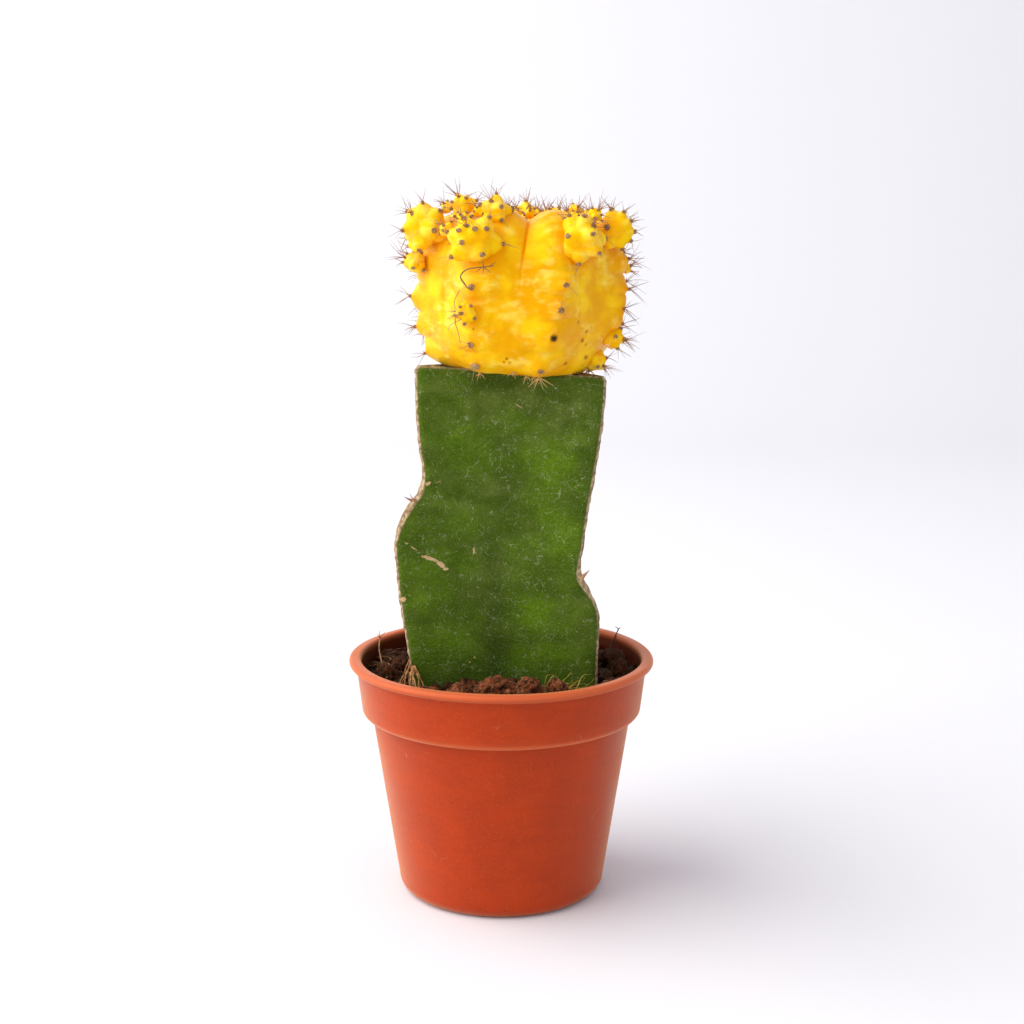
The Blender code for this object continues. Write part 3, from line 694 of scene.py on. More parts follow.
def stem_flecks(tree, place):
    """A mask of the stem's pale flecks, curved scratches and short nicks."""
    crowd = speckle(tree, place, 5.0, 0.42, 0.62, detail=2.0, shift=17.0)
    fleck = speckle(tree, place, 0.30, 0.70, 0.76, detail=1.0, shift=2.0)
    masks = [node(tree, "Math", {0: fleck, 1: crowd}, operation="MULTIPLY")]
    masks += [hairlines(tree, place, *scratch) for scratch in STEM_SCRATCHES]
    for turn, shift in STEM_NICKS:
        lie = (0, math.radians(turn), 0)
        masks.append(speckle(tree, place, 0.34, 0.73, 0.80, 1.0, (4.0, 1, 0.42), lie, shift))
    return strongest(tree, masks)


def waxy_stem_skin(colour, patch_colour):
    """Cactus epidermis with a wax bloom: deep green, mottled, scratched, with corky margins."""
    made, tree, shader = new_material(
        "Waxy_cactus_epidermis", IOR=1.40, Specular_IOR_Level=0.30, Specular_Tint=(0.95, 1.0, 0.15, 1.0))
    place = millimetres(tree)
    cloud = speckle(tree, place, 4.5, 0.36, 0.68, detail=5.0, stretch=(1.2, 1, 1))
    lush = node(tree, "Attribute", out="Fac", attribute_name="lush")
    lush = node(tree, "Math", {0: cloud, 1: 0.40, 2: lush}, operation="MULTIPLY_ADD", use_clamp=True)
    fine = speckle(tree, place, 0.55, 0.34, 0.70, detail=5.0, stretch=(1.5, 1, 0.8), shift=5.0)
    bloom = speckle(tree, place, 3.6, 0.30, 0.78, detail=8.0, stretch=(1.2, 1, 0.9), shift=9.0)
    haze = node(tree, "Attribute", out="Fac", attribute_name="haze")
    haze = node(tree, "Math", {0: haze, 1: 0.38, 2: 0.076}, operation="MULTIPLY_ADD")
    bloom = node(tree, "Math", {0: bloom, 1: haze}, operation="MULTIPLY")
    grainy = speckle(tree, place, 0.20, 0.50, 0.74, detail=2.0, shift=12.0)
    scars = strongest(tree, [blot(tree, place, *scar, 0.16) for scar in STEM_SCARS])
    margin = node(tree, "Attribute", out="Fac", attribute_name="cork")
    cork = strongest(tree, [margin, scars])
    bark = speckle(tree, place, 0.8, 0.35, 0.65, detail=5.0, shift=1.0)
    tan = layers(tree, srgb("#7c6248"), [(bark, 1.0, "#c0a988"), (scars, 0.7, "#cfae7e")])
    tone = layers(tree, colour, [
        (lush, 1.0, patch_colour),
        # Darker green skin, with painted shade down the middle of the front face
        ("dull", 0.75, "#263a0c"),
        (fine, 0.42, "#23390a"),
        (bloom, 1.0, "#8c9a4c"),
        (grainy, 0.30, "#8fa266"),
        (stem_flecks(tree, place), 0.38, "#c3ccaa"),
        (cork, 1.0, tan),
    ])
    gloss = node(tree, "MapRange", {0: bloom, 3: 0.36, 4: 0.6})
    gloss = node(tree, "Math", {0: cork, 1: 0.4, 2: gloss}, operation="MULTIPLY_ADD", use_clamp=True)
    relief = node(tree, "Math", {0: fine, 1: grainy}, operation="ADD")
    relief = node(tree, "Math", {0: relief, 1: 0.35}, operation="MULTIPLY")
    relief = node(tree, "Math", {0: cork, 1: bark, 2: relief}, operation="MULTIPLY_ADD")
    finish(tree, shader, tone, relief, 0.14, gloss)
    return made


def waxy_scion_flesh(name, colour, lit, warm):
    """Cactus flesh with no green in it: waxy, and so clear that light glows through its thin places."""
    made, tree, shader = new_material(
        name, IOR=1.42, Specular_IOR_Level=0.42, Specular_Tint=(1.0, 0.84, 0.12, 1.0),
        Subsurface_Weight=0.30, Subsurface_Scale=0.0014, Subsurface_Radius=(1.0, 0.40, 0.04),
    )
    place = millimetres(tree)
    cloud = speckle(tree, place, 5.0, 0.38, 0.66, detail=4.0)
    amber = speckle(tree, place, 3.4, 0.50, 0.74, detail=4.0, stretch=(1.3, 1.3, 0.8), shift=13.0)
    where = speckle(tree, place, 5.0, 0.42, 0.62, detail=2.0, shift=4.0)
    cream = speckle(tree, place, 1.5, 0.42, 0.66, detail=6.0, stretch=(1.35, 1.35, 0.8), shift=6.0)
    cream = node(tree, "Math", {0: where, 1: cream}, operation="MULTIPLY")
    spots = speckle(tree, place, 0.38, 0.755, 0.79, detail=1.0, shift=8.0)
    tone = layers(tree, colour, [
        (cloud, 1.0, lit),
        (amber, 0.50, warm),
        (cream, 0.55, "#fee468"),
        (spots, 0.7, "#b06a12"),
        # Painted shade in the folds, between the knobs, against the offsets and at the foot, and the warmer
        # flesh round the areoles
        ("warm", 0.85, warm),
        ("stain", 0.85, "#8f3c0c"),
        ("scab", 1.0, "#2a1a14"),
    ])
    grain = node(tree, "TexNoise", {"Vector": place, "Scale": 1 / 0.8, "Detail": 5.0})
    relief = node(tree, "Math", {0: cream, 1: 0.5, 2: grain}, operation="MULTIPLY_ADD")
    finish(tree, shader, tone, relief, 0.12, node(tree, "MapRange", {0: cloud, 3: 0.36, 4: 0.5}))
    return made


def areole_wool():
    """Areole wool: short matted hairs, grey-brown with darker roots."""
    made, tree, shader = new_material("Matted_areole_wool", Roughness=0.95, IOR=1.3)
    tuft = speckle(tree, millimetres(tree), 0.28, 0.35, 0.68, detail=4.0)
    tone = layers(tree, srgb("#866244"), [(tuft, 1.0, "#c3a074"), ("pale", 1.0, "#d9bb72")])
    finish(tree, shader, tone, tuft, 0.12)
    return made


def dry_spine():
    """Cactus spines: dry horn, amber at the root and dark purple-brown towards the point."""
    made, tree, shader = new_material("Dry_horn_spine", Roughness=0.5, IOR=1.5)
    along = node(tree, "Attribute", out="Fac", attribute_name="along")
    root = node(tree, "MapRange", {0: along, 1: 0.0, 2: 0.35})
    point = node(tree, "MapRange", {0: along, 1: 0.35, 2: 1.0})
    finish(tree, shader, layers(tree, srgb("#b8793e"), [
        (root, 1.0, "#93624f"),
        (point, 1.0, "#74555a"),
        ("straw", 1.0, "#d4ae66"),
        ("withered", 1.0, "#76622f"),
    ]))
    return made


def dry_root(name, thick, thin):
    """Dried roots and fibres: rough, paler where they are thin."""
    made, tree, shader = new_material(name, Roughness=0.8, IOR=1.4)
    grain = speckle(tree, millimetres(tree), 0.8, 0.35, 0.65, detail=4.0)
    finish(tree, shader, layers(tree, srgb(thick), [(grain, 1.0, thin)]), grain, 0.08)
    return made


def matt_paint(name, colour):
    """Matt emulsion on a smooth board: an even pale tone with hardly any sheen."""
    return new_material(name, Base_Color=colour, Roughness=0.7, Specular_IOR_Level=0.3)[0]


# Pot -------------------------------------------------------------------------------------------


def pot_inside(wall):
    """The inside of the pot from the middle of the floor up to the lip."""
    step_height = POT_HEIGHT - COLLAR_HEIGHT + wall
    floor_radius = BASE_RADIUS - wall - 2.2
    return [
        (0.0, FLOOR_TOP),
        (DRAIN_CIRCLE, FLOOR_TOP),
        *arc(floor_radius, FLOOR_TOP + 2.0, 2.0, -90, -10, 6),
        (BODY_TOP_RADIUS - wall, step_height - 0.6),
        (BODY_TOP_RADIUS - wall + 0.2, step_height - 0.2),
        (BODY_TOP_RADIUS - wall + 0.6, step_height),
        (COLLAR_FOOT_RADIUS - wall - 0.7, step_height + 0.3),
        (COLLAR_FOOT_RADIUS - wall - 0.2, step_height + 0.6),
        (COLLAR_FOOT_RADIUS - wall, step_height + 1.2),
        (COLLAR_TOP_RADIUS - wall, POT_HEIGHT - 1.2),
    ]


def pot_outside():
    """From the lip down the outside and in over the foot ring to the middle."""
    collar_foot = POT_HEIGHT - COLLAR_HEIGHT
    return [
        *arc(RIM_RADIUS - LIP_THICKNESS / 2, POT_HEIGHT - LIP_THICKNESS / 2, LIP_THICKNESS / 2, 90, -90, 10),
        (COLLAR_TOP_RADIUS + 0.35, POT_HEIGHT - LIP_THICKNESS),
        (COLLAR_TOP_RADIUS + 0.08, POT_HEIGHT - LIP_THICKNESS - 0.15),
        (COLLAR_TOP_RADIUS, POT_HEIGHT - LIP_THICKNESS - 0.5),
        *arc(COLLAR_FOOT_RADIUS - 1.1, collar_foot + 1.15, 1.1, 0, -75, 7),
        (BODY_TOP_RADIUS + 0.12, collar_foot + 0.02),
        (BODY_TOP_RADIUS, collar_foot - 0.1),
        (BODY_TOP_RADIUS - 0.08, collar_foot - 0.6),
        *arc(BASE_RADIUS - BASE_FILLET, BASE_FILLET, BASE_FILLET, 0, -90, 10),
        (FOOT_INNER_RADIUS + 0.3, 0.0),
        (FOOT_INNER_RADIUS, 0.15),
        (FOOT_INNER_RADIUS - 0.4, FOOT_HEIGHT - 0.1),
        (FOOT_INNER_RADIUS - 0.7, FOOT_HEIGHT),
        (DRAIN_CIRCLE, FOOT_HEIGHT),
        (0.0, FOOT_HEIGHT),
    ]


def dense(profile, longest):
    """The profile with points added so that no step is longer than this."""
    made = [profile[0]]
    for (r0, h0), (r1, h1) in zip(profile, profile[1:]):
        steps = max(1, math.ceil(math.hypot(r1 - r0, h1 - h0) / longest))
        made += [(r0 + (r1 - r0) * i / steps, h0 + (h1 - h0) * i / steps) for i in range(1, steps + 1)]
    return made


def make_pot(settings):
    """The pot, turned from its profile and then drilled, with one material outside and a copy of it with
    hardly any sheen inside, as painted shade.
    """
    wall = settings.wall / MM
    inside = dense(pot_inside(wall), RING_SPACING)
    lip = arc(COLLAR_TOP_RADIUS - wall + 0.6, POT_HEIGHT - 0.6, 0.6, 180, 90, 6)
    profile = np.array(inside + lip + dense(pot_outside(), RING_SPACING))
    around = settings.segments
    angle = 2 * math.pi * np.arange(around) / around
    radius, height = profile[:, 0][:, None], profile[:, 1][:, None]
    lift = ease(height, POT_HEIGHT - 4, POT_HEIGHT)
    # A thin moulded rim is never quite round or flat
    radius = radius * (1 + 0.0016 * lift * np.sin(2 * angle + 0.7))
    height = height - lift * (0.09 + 0.09 * np.sin(3 * angle + 1.2) * np.cos(2 * angle))
    points = np.stack(np.broadcast_arrays(radius * np.cos(angle), radius * np.sin(angle), height), -1)
    out, up = profile.T
    # Painted highlights: the lip and the collar's lower corner are painted paler
    worn = bell(up - POT_HEIGHT + 0.4, 0.7) * (out > COLLAR_TOP_RADIUS - 1)
    worn += 0.8 * bell(up - POT_HEIGHT + COLLAR_HEIGHT - 0.5, 0.5) * (out > BODY_TOP_RADIUS + 0.3)
    # Painted shade: the inside faces darken from just under the lip down
    painted_inner_shade = (np.arange(len(profile)) < len(inside)) * ease(POT_HEIGHT - up, 0.2, 1.5)
    marks = {"worn": np.repeat(worn, around), "inside": np.repeat(painted_inner_shade, around)}
    look = moulded_polypropylene("Moulded_polypropylene_terracotta", settings.colour, SHEEN_OUTSIDE)
    # The loft runs up the inside and down the outside, so its rings are taken in reverse
    faces = [face[::-1] for face in loft_faces(len(profile), around)]
    pot = add_piece("nursery_pot", points.reshape(-1, 3), faces, look, ["pot"], marks)
    weld(pot, shade_inside)
    # A copy with hardly any sheen for the inside faces: painted shade
    shaded_inside_copy = moulded_polypropylene("Damp_polypropylene_terracotta", settings.colour, SHEEN_INSIDE)
    pot.data.materials.append(shaded_inside_copy)
    pot.data.shade_smooth()
    drill_drains(pot, settings.drain / MM)


def shade_inside(bm):
    """Gives the pot's inside its second material, a copy with hardly any sheen so that the inside looks
    shaded: painted shade.
    """
    bmesh.ops.recalc_face_normals(bm, faces=bm.faces)
    inside = bm.verts.layers.float["inside"]
    for face in bm.faces:
        face.material_index = int(min(vert[inside] for vert in face.verts) > 0.4)


def drill_drains(pot, radius):
    """Cuts the drain holes through the pot's floor and keeps only the cut mesh."""
    bm = bmesh.new()
    for i in range(DRAIN_COUNT):
        angle = 2 * math.pi * (i + 0.5) / DRAIN_COUNT
        hole = bmesh.ops.create_cone(
            bm, cap_ends=True, segments=40, radius1=radius * MM, radius2=radius * MM, depth=6 * MM
        )
        place = Vector((math.cos(angle), math.sin(angle), 0)) * DRAIN_CIRCLE * MM
        bmesh.ops.translate(bm, vec=place + Vector((0, 0, FLOOR_TOP * MM)), verts=hole["verts"])
    mesh = bpy.data.meshes.new("drain_drill")
    bm.to_mesh(mesh)
    bm.free()
    drill = bpy.data.objects.new("drain_drill", mesh)
    bpy.context.scene.collection.objects.link(drill)
    cut = pot.modifiers.new("drains", "BOOLEAN")
    cut.object = drill
    cut.operation = "DIFFERENCE"
    depsgraph = bpy.context.evaluated_depsgraph_get()
    drilled = bpy.data.meshes.new_from_object(pot.evaluated_get(depsgraph))
    pot.modifiers.clear()
    drilled.name = "nursery_pot"
    pot.data = drilled
    drilled.set_sharp_from_angle(angle=math.radians(50))
    bpy.data.objects.remove(drill)


# Rootstock -------------------------------------------------------------------------------------


def wing_tips(height):
    """Where the three wings' margins stand at this height: left, right and back."""
    return np.array([
        (float(smooth(LEFT_WING, height)), WING_FRONT),
        (float(smooth(RIGHT_WING, height)), WING_FRONT),
        (float(smooth(BACK_WING_SIDE, height)), float(smooth(BACK_WING, height))),
    ])


def stem_outline(height, margin_steps=MARGIN_STEPS, face_steps=FACE_STEPS):
    """The stem's outline at a height: three round margins and three hollow faces between them."""
    tips = wing_tips(height)
    middle = tips.mean(0)
    turns = np.radians(np.linspace(-60, 60, margin_steps))
    margins = []
    for tip in tips:
        outward = unit(tip - middle)
        start = math.atan2(outward[1], outward[0])
        round_edge = np.stack([np.cos(start + turns), np.sin(start + turns)], -1)
        margins.append(tip - outward * MARGIN_RADIUS + round_edge * MARGIN_RADIUS)
    share = np.linspace(0, 1, face_steps + 1)[1:-1]
    outline = []
    for margin, following in zip(margins, margins[1:] + margins[:1]):
        start, end = margin[-1], following[0]
        inward = unit(middle - (start + end) / 2)
        hollow = FACE_HOLLOW * np.sin(math.pi * share) ** 1.5
        outline += [margin, start + (end - start) * share[:, None] + inward * hollow[:, None]]
    return np.concatenate(outline)


def stem_tones(points):
    """Shares of lush green, dull green with painted shade, and grey bloom over the stem, from where each
    patch lies.
    """
    across = points[:, 0] + 1.6 * lumps(points, 3.0, 11.0)
    height = points[:, 2] + 1.6 * lumps(points, 3.0, 15.0)
    tones = []
    for patches in (LUSH_PATCHES, DULL_AND_SHADE_PATCHES, HAZY_PATCHES):
        total = np.zeros(len(points))
        for x, z, half_x, half_z, share in patches:
            away = ((across - x) / half_x) ** 2 + ((height - z) / half_z) ** 2
            total = total + share * np.exp(-away)
        tones.append(np.clip(total, 0, 1))
    return tones


def stem_marks(height):
    """How much of each point round the outline at a height is the dry margin, from 0 to 1."""
    turns = np.abs(np.linspace(-60, 60, MARGIN_STEPS))
    marks = []
    for wing in range(3):
        # The margin is broadest at the notches
        reach = 22.0
        for notched, _, middle, length in STEM_NOTCHES:
            if notched == wing:
                reach += 34.0 * bell(height - middle, length)
        marks += [1 - ease(turns, reach - 4, reach + 7), np.zeros(FACE_STEPS - 1)]
    return np.concatenate(marks)


def make_stem(settings):
    """The rootstock, lofted through its outlines from the buried end to the cut, and its thorns."""
    # The buried part is plain and needs few levels
    levels = np.concatenate([np.linspace(STEM_FOOT, 35, 7), np.linspace(36, CUT_HEIGHT, 185)])
    cork = np.array([stem_marks(height) for height in levels])
    around = cork.shape[1]
    rings = np.array([stem_outline(height) for height in levels])
    middles = rings.mean(1, keepdims=True)
    # The corners of the cut are worn round
    wear = 0.03 * ease(levels, CUT_HEIGHT - 1.1, CUT_HEIGHT) ** 2
    rings = middles + (rings - middles) * (1 - wear)[:, None, None]
    share = ((levels - STEM_FOOT) / (CUT_HEIGHT - STEM_FOOT))[:, None]
    tilt = CUT_TILT * share ** 6 * (rings[..., 0] - 1.5)
    height = np.broadcast_to(levels[:, None], rings.shape[:2]) + tilt
    points = np.concatenate([rings, height[..., None]], -1)
    flat = points.reshape(-1, 3)
    wander = lumps(flat, 2.6, 3.1).reshape(rings.shape[:2])
    corky = np.clip(cork * (1.35 + 0.7 * wander) - 0.22, 0, 1)
    corky = np.maximum(corky, 0.75 * bell(height - height[-1:], 0.22))
    # Swells and hollows of the flesh, and the roughness of the cork
    outward = unit(rings - middles)
    swell = settings.unevenness / MM * lumps(flat * (1, 1, 0.6), 9.0, 1.7)
    swell += 0.07 * lumps(flat, 2.2, 5.2)
    swell += corky.reshape(-1) * (0.08 + 0.20 * lumps(flat, 0.9, 8.8))
    points[..., :2] += outward * swell.reshape(rings.shape[:2])[..., None]
    rings3d = [*points]
    # The cut end dries out: it sinks a little inside its rim
    rim = points[-1]
    centre = rim.mean(0)
    for inset, sink in ((0.985, 0.0), (0.95, 0.22), (0.8, 0.3), (0.5, 0.3), (0.2, 0.3), (0.0, 0.3)):
        ring = centre + (rim - centre) * inset
        ring[:, 2] = rim[:, 2] * inset + centre[2] * (1 - inset) - sink
        rings3d.append(ring)
    everything = np.concatenate(rings3d)
    lush, dull, haze = stem_tones(everything)
    count = len(rings3d) - len(levels)
    corky = np.concatenate([corky.reshape(-1), np.full(around * count, 0.7)])
    marks = {"cork": corky, "lush": lush, "dull": dull, "haze": haze}
    faces = loft_faces(len(rings3d), around)
    faces.append(list(range(around))[::-1])
    look = waxy_stem_skin(settings.colour, settings.patch_colour)
    add_piece("rootstock_stem", everything, faces, look, ["rootstock"], marks)
    make_stem_thorns()


def make_stem_thorns():
    """Woolly areoles in the notches of the wings, each with short stiff thorns."""
    draw = random.Random(5)
    wool, thorns = Gathered(), Gathered()
    feet = []
    for wing, height, _, _ in STEM_NOTCHES:
        tips = wing_tips(height)
        outward = np.append(unit(tips[wing] - tips.mean(0)), 0.25)
        foot = np.append(tips[wing], height) - outward * 0.2
        add_wool(wool, foot, outward, 0.62, draw, pale=0.55)
        feet.append((foot, outward, turned_to(outward)))
    for notch, sideways, upward, length, radius, straw in STEM_THORNS:
        foot, outward, turn = feet[notch]
        aim = unit(unit(outward) + np.array((0, 0, 1)) * upward + turn[:, 0] * sideways)
        along = np.linspace(0, 1, 8)
        path = foot + turn[:, 0] * sideways * 0.5 + aim * along[:, None] * length
        path[:, 2] += 0.12 * length * along ** 2
        thorns.add_strand(path, radius * (1 - 0.94 * along ** 0.8), 8, straw=straw, withered=0.0)
    nodes = ["stem_thorn_left", "stem_thorn_right", "stem_thorn_back"]
    thorns.as_piece("stem_thorns", dry_spine(), "thorn", nodes)
    wool.as_piece("stem_areoles", areole_wool(), "thorn")


# Peat ------------------------------------------------------------------------------------------


def soil_height(x, y):
    """Height of the peat's surface: bumpy, mounded in front of the stem and raised along both sides."""
    flat = np.stack(np.broadcast_arrays(x, y, 0.0), -1).reshape(-1, 3)
    bump = SOIL_BUMP * lumps(flat, SOIL_BUMP_SIZE).reshape(np.shape(x))
    away = ((x - MOUND_PLACE[0]) / MOUND_REACH[0]) ** 2 + ((y - MOUND_PLACE[1]) / MOUND_REACH[1]) ** 2
    sides = SIDE_BANK * ease(np.abs(x), 15.0, 20.0) * (1 - ease(np.abs(y), 8.0, 16.0))
    return SOIL_TOP + bump + MOUND_HEIGHT * np.exp(-away) + sides


def soil_at(x, y):
    """Height of the peat's surface at one place."""
    return float(soil_height(np.array(x), np.array(y)))


def beyond_stem(x, y):
    """How far a place on the peat is outside the stem's outline, in mm, negative inside it."""
    outline = stem_outline(SOIL_TOP + 1, 6, 14)
    place = np.array((x, y))
    following = np.roll(outline, -1, 0)
    crossing = (outline[:, 1] > y) != (following[:, 1] > y)
    reach = (following[:, 0] - outline[:, 0]) * (y - outline[:, 1])
    rise = np.where(crossing, following[:, 1] - outline[:, 1], 1.0)
    inside = np.count_nonzero(crossing & (x < outline[:, 0] + reach / rise)) % 2 == 1
    nearest = np.linalg.norm(outline - place, axis=1).min()
    return -nearest if inside else nearest


def add_crumb(gathered, shape, centre, radius, draw):
    """One crumb of peat: a knot of fibres, uneven and ridged."""
    points, faces = shape
    seed = draw.uniform(0, 90)
    ropes = 1 - 2.6 * np.abs(lumps(points * (1, 1, 2.2), 0.42, seed))
    strands = 1 - 2.4 * np.abs(lumps(points * (2.4, 1, 1), 0.22, seed + 4))
    size = 1 + 0.30 * lumps(points, 0.8, seed + 9) + 0.27 * ropes + 0.13 * strands
    stretch = np.array([draw.uniform(0.85, 1.25), draw.uniform(0.8, 1.1), draw.uniform(0.65, 0.9)])
    turn = turned_to((draw.uniform(-1, 1), draw.uniform(-1, 1), draw.uniform(0.2, 1)))
    # Where the fibres ridge up, the material paints a highlight
    ridge = np.clip(0.6 * ropes + 0.4 * strands, 0, 1) ** 3
    gathered.add((points * size[:, None] * stretch * radius) @ turn.T + centre, faces, ridge=ridge)


def make_peat(settings):
    """The bed of peat that fills the pot, and the clods, crumbs and fibres that lie on it."""
    wall = settings.gap / MM
    draw = random.Random(21)
    inside = [(max(r - wall, 0.0), h + wall * (h < 8)) for r, h in pot_inside(POT_WALL)]
    side = dense([point for point in inside if point[1] < SOIL_TOP - 1.2], 3.0)
    edge = side[-1][0] + 0.3
    profile = np.array(side + [(edge * share, SOIL_TOP) for share in np.linspace(1, 0, PEAT_RINGS)])
    angle = 2 * math.pi * np.arange(PEAT_AROUND) / PEAT_AROUND
    x, y = profile[:, :1] * np.cos(angle), profile[:, :1] * np.sin(angle)
    height = np.broadcast_to(profile[:, 1:], x.shape).copy()
    top = len(side)
    height[top:] = soil_height(x[top:], y[top:])
    flat = np.stack([x[top:], y[top:], height[top:]], -1).reshape(-1, 3)
    fine = 0.45 * lumps(flat, 1.9, 4.0) + 0.3 * lumps(flat, 0.8, 6.0)
    height[top:] += fine.reshape(height[top:].shape) - 0.15
    points = np.stack([x, y, height], -1).reshape(-1, 3)
    faces = loft_faces(len(profile), PEAT_AROUND)
    look = damp_peat("Damp_peat", settings.dark, settings.light)
    weld(add_piece("peat_bed", points, faces, look, ["soil"]))
    clumps = Gathered()
    shape = ball(4)
    for x, y, radius in PEAT_CLUMPS:
        height = soil_at(x, y) + radius * 0.55
        add_crumb(clumps, shape, (x, y, height), radius * 0.95, draw)
    look = damp_peat("Coir_and_peat_clods", srgb("#1c0903"), srgb("#8c4524"), 0.9)
    clumps.as_piece("peat_clods", look, "soil", [f"peat_clump_{i + 1:02d}" for i in range(len(PEAT_CLUMPS))])
    scatter_crumbs(settings, draw)
    lay_fibres(settings, draw)


def place_on_peat(reach, draw):
    """A place drawn evenly over a disc of this radius."""
    angle, away = draw.uniform(0, 2 * math.pi), reach * math.sqrt(draw.random())
    return away * math.cos(angle), away * math.sin(angle)


def scatter_crumbs(settings, draw):
    """Small crumbs all over the peat, thicker along the wall and against the stem."""
    crumbs = Gathered()
    shapes = {1: ball(2), 2: ball(3)}
    placed = 0
    while placed < settings.crumbs:
        x, y = place_on_peat(CRUMB_CENTRES_WITHIN, draw)
        radius = 0.45 + 1.15 * draw.random() ** 2.2
        if beyond_stem(x, y) < radius * 0.5 or math.hypot(x, y) + radius > CRUMBS_WITHIN:
            continue
        height = soil_at(x, y) + radius * draw.uniform(0.1, 0.7)
        add_crumb(crumbs, shapes[2 if radius > 0.8 else 1], (x, y, height), radius, draw)
        placed += 1
    look = damp_peat("Loose_peat_crumbs", srgb("#160803"), srgb("#683218"), 0.6)
    crumbs.as_piece("peat_crumbs", look, "soil")


def lay_fibres(settings, draw):
    """Coir fibres that lie across the peat in loose curls."""
    fibres = Gathered()
    placed = 0
    while placed < settings.fibres:
        x, y = place_on_peat(FIBRES_START_WITHIN, draw)
        heading, bend = draw.uniform(0, 2 * math.pi), draw.uniform(-0.45, 0.45)
        step = draw.uniform(0.45, 1.0)
        lift = draw.uniform(0.3, 1.5)
        path = []
        for _ in range(8):
            if beyond_stem(x, y) < 0.4 or math.hypot(x, y) > FIBRES_WITHIN:
                break
            path.append((x, y, soil_at(x, y) + lift))
            x += step * math.cos(heading)
            y += step * math.sin(heading)
            heading += bend + draw.uniform(-0.2, 0.2)
            lift = max(0.25, lift + draw.uniform(-0.35, 0.3))
        if len(path) < 4:
            continue
        thickness = draw.uniform(0.05, 0.12)
        fibres.add_strand(path, thickness * np.linspace(1.0, 0.5, len(path)), 4)
        placed += 1
    look = dry_root("Coir_fibre", "#4c2a18", "#a57350")
    fibres.as_piece("peat_fibres", look, "soil")


# Scion -----------------------------------------------------------------------------------------


def outline_at(share):
    """Radius and height of the scion's outline at shares of its length."""
    knots = np.linspace(0, 1, len(SCION_OUTLINE))
    radii, heights = np.array(SCION_OUTLINE).T
    return smooth(list(zip(knots, radii)), share), smooth(list(zip(knots, heights)), share)


def share_at(height):
    """The share of the outline where the flank has this height."""
    shares = np.linspace(FOOT - 0.04, SHOULDER, 400)
    return float(np.interp(height, outline_at(shares)[1], shares))


def length_at(share):
    """Length along the outline up to a share of it, in mm."""
    shares = np.linspace(0, 1, 600)
    radii, heights = outline_at(shares)
    steps = np.hypot(np.diff(radii), np.diff(heights))
    return np.interp(share, shares, np.concatenate([[0], np.cumsum(steps)]))


def crest_azimuth(rib, share):
    """Azimuth of a rib's crest, which wanders from the shoulder to the foot."""
    drop = np.clip((SHOULDER - share) / (SHOULDER - FOOT), 0, 1)
    return rib[0] + (rib[1] - rib[0]) * drop


def rib_swell(azimuth, share):
    """1 on the crest of a rib and 0 in the groove between two ribs."""
    turn = np.array([(azimuth - crest_azimuth(rib, share)) % 360 for rib in SCION_RIBS])
    behind, ahead = turn.min(0), (360 - turn).min(0)
    return 0.5 + 0.5 * np.cos(2 * math.pi * behind / (behind + ahead))


def scion_areoles():
    """(azimuth, share, chin size) of every areole on the flank."""
    return [
        (float(crest_azimuth(rib, share_at(height))), share_at(height), rib[3])
        for rib in SCION_RIBS
        for height in rib[2]
    ]


def apart(azimuth, other):
    """Signed difference of two azimuths in degrees."""
    return (azimuth - other + 180) % 360 - 180


def areole_relief(azimuth, along, reach):
    """Relief and warm marks round every areole: a small point on a blunt chin, under a crease."""
    relief, warm = np.zeros_like(along), np.zeros_like(along)
    for crest, spot, chin in SCION_AREOLES:
        across = np.radians(apart(azimuth, crest)) * reach
        above = along - float(length_at(spot))
        off = np.hypot(across, above)
        # The chin hangs further down than it reaches up
        level = np.where(above < 0, above / CHIN_DROP, above / CHIN_RISE)
        relief += chin * CHIN_SWELL * bell(across, CHIN_WIDTH) * bell(level + 0.25, 1.0)
        relief += chin * POINT_SWELL * bell(off, 0.95, 1.4)
        bent = above - CREASE_RISE - 0.05 * across ** 2
        relief -= chin * CREASE_DEPTH * bell(bent, 0.42) * bell(across, 3.6)
        warm += 0.75 * bell(off, 1.25)
    return relief, warm


def front_relief(azimuth, share, along, reach):
    """Relief of the deep fold down the front and of the swollen lobes beside it, and the warm mark that
    paints shade along the fold.
    """
    across = np.radians(apart(azimuth, smooth(FRONT_FOLD, share))) * reach
    depth = between(share, 0.50, 0.64, 0.93, 1.0)
    notch = depth * (0.25 + 0.75 * ease(share, 0.66, 0.8))
    relief = -FOLD_DEPTH * depth * bell(across, FOLD_WIDTH) - NOTCH_DEPTH * notch * bell(across, 1.7)
    lobes = bell(across - 4.8, 3.4) + 0.9 * bell(across + 3.9, 2.8)
    relief += LOBE_SWELL * lobes * bell(share - 0.77, 0.11)
    # Fine folds fan out from the deep one over the right lobe
    fan = FAN_DEPTH * bell(across - 5.5, 4.5) * bell(share - 0.70, 0.09)
    turn = (along - 0.18 * across + 0.4 * np.sin(across)) / FAN_SPACING
    # Painted shade along the fold and a little to each side of it
    warm = depth * (0.9 * bell(across, 0.26) + 0.3 * bell(across, 1.2))
    return relief + fan * np.sin(2 * math.pi * turn), warm


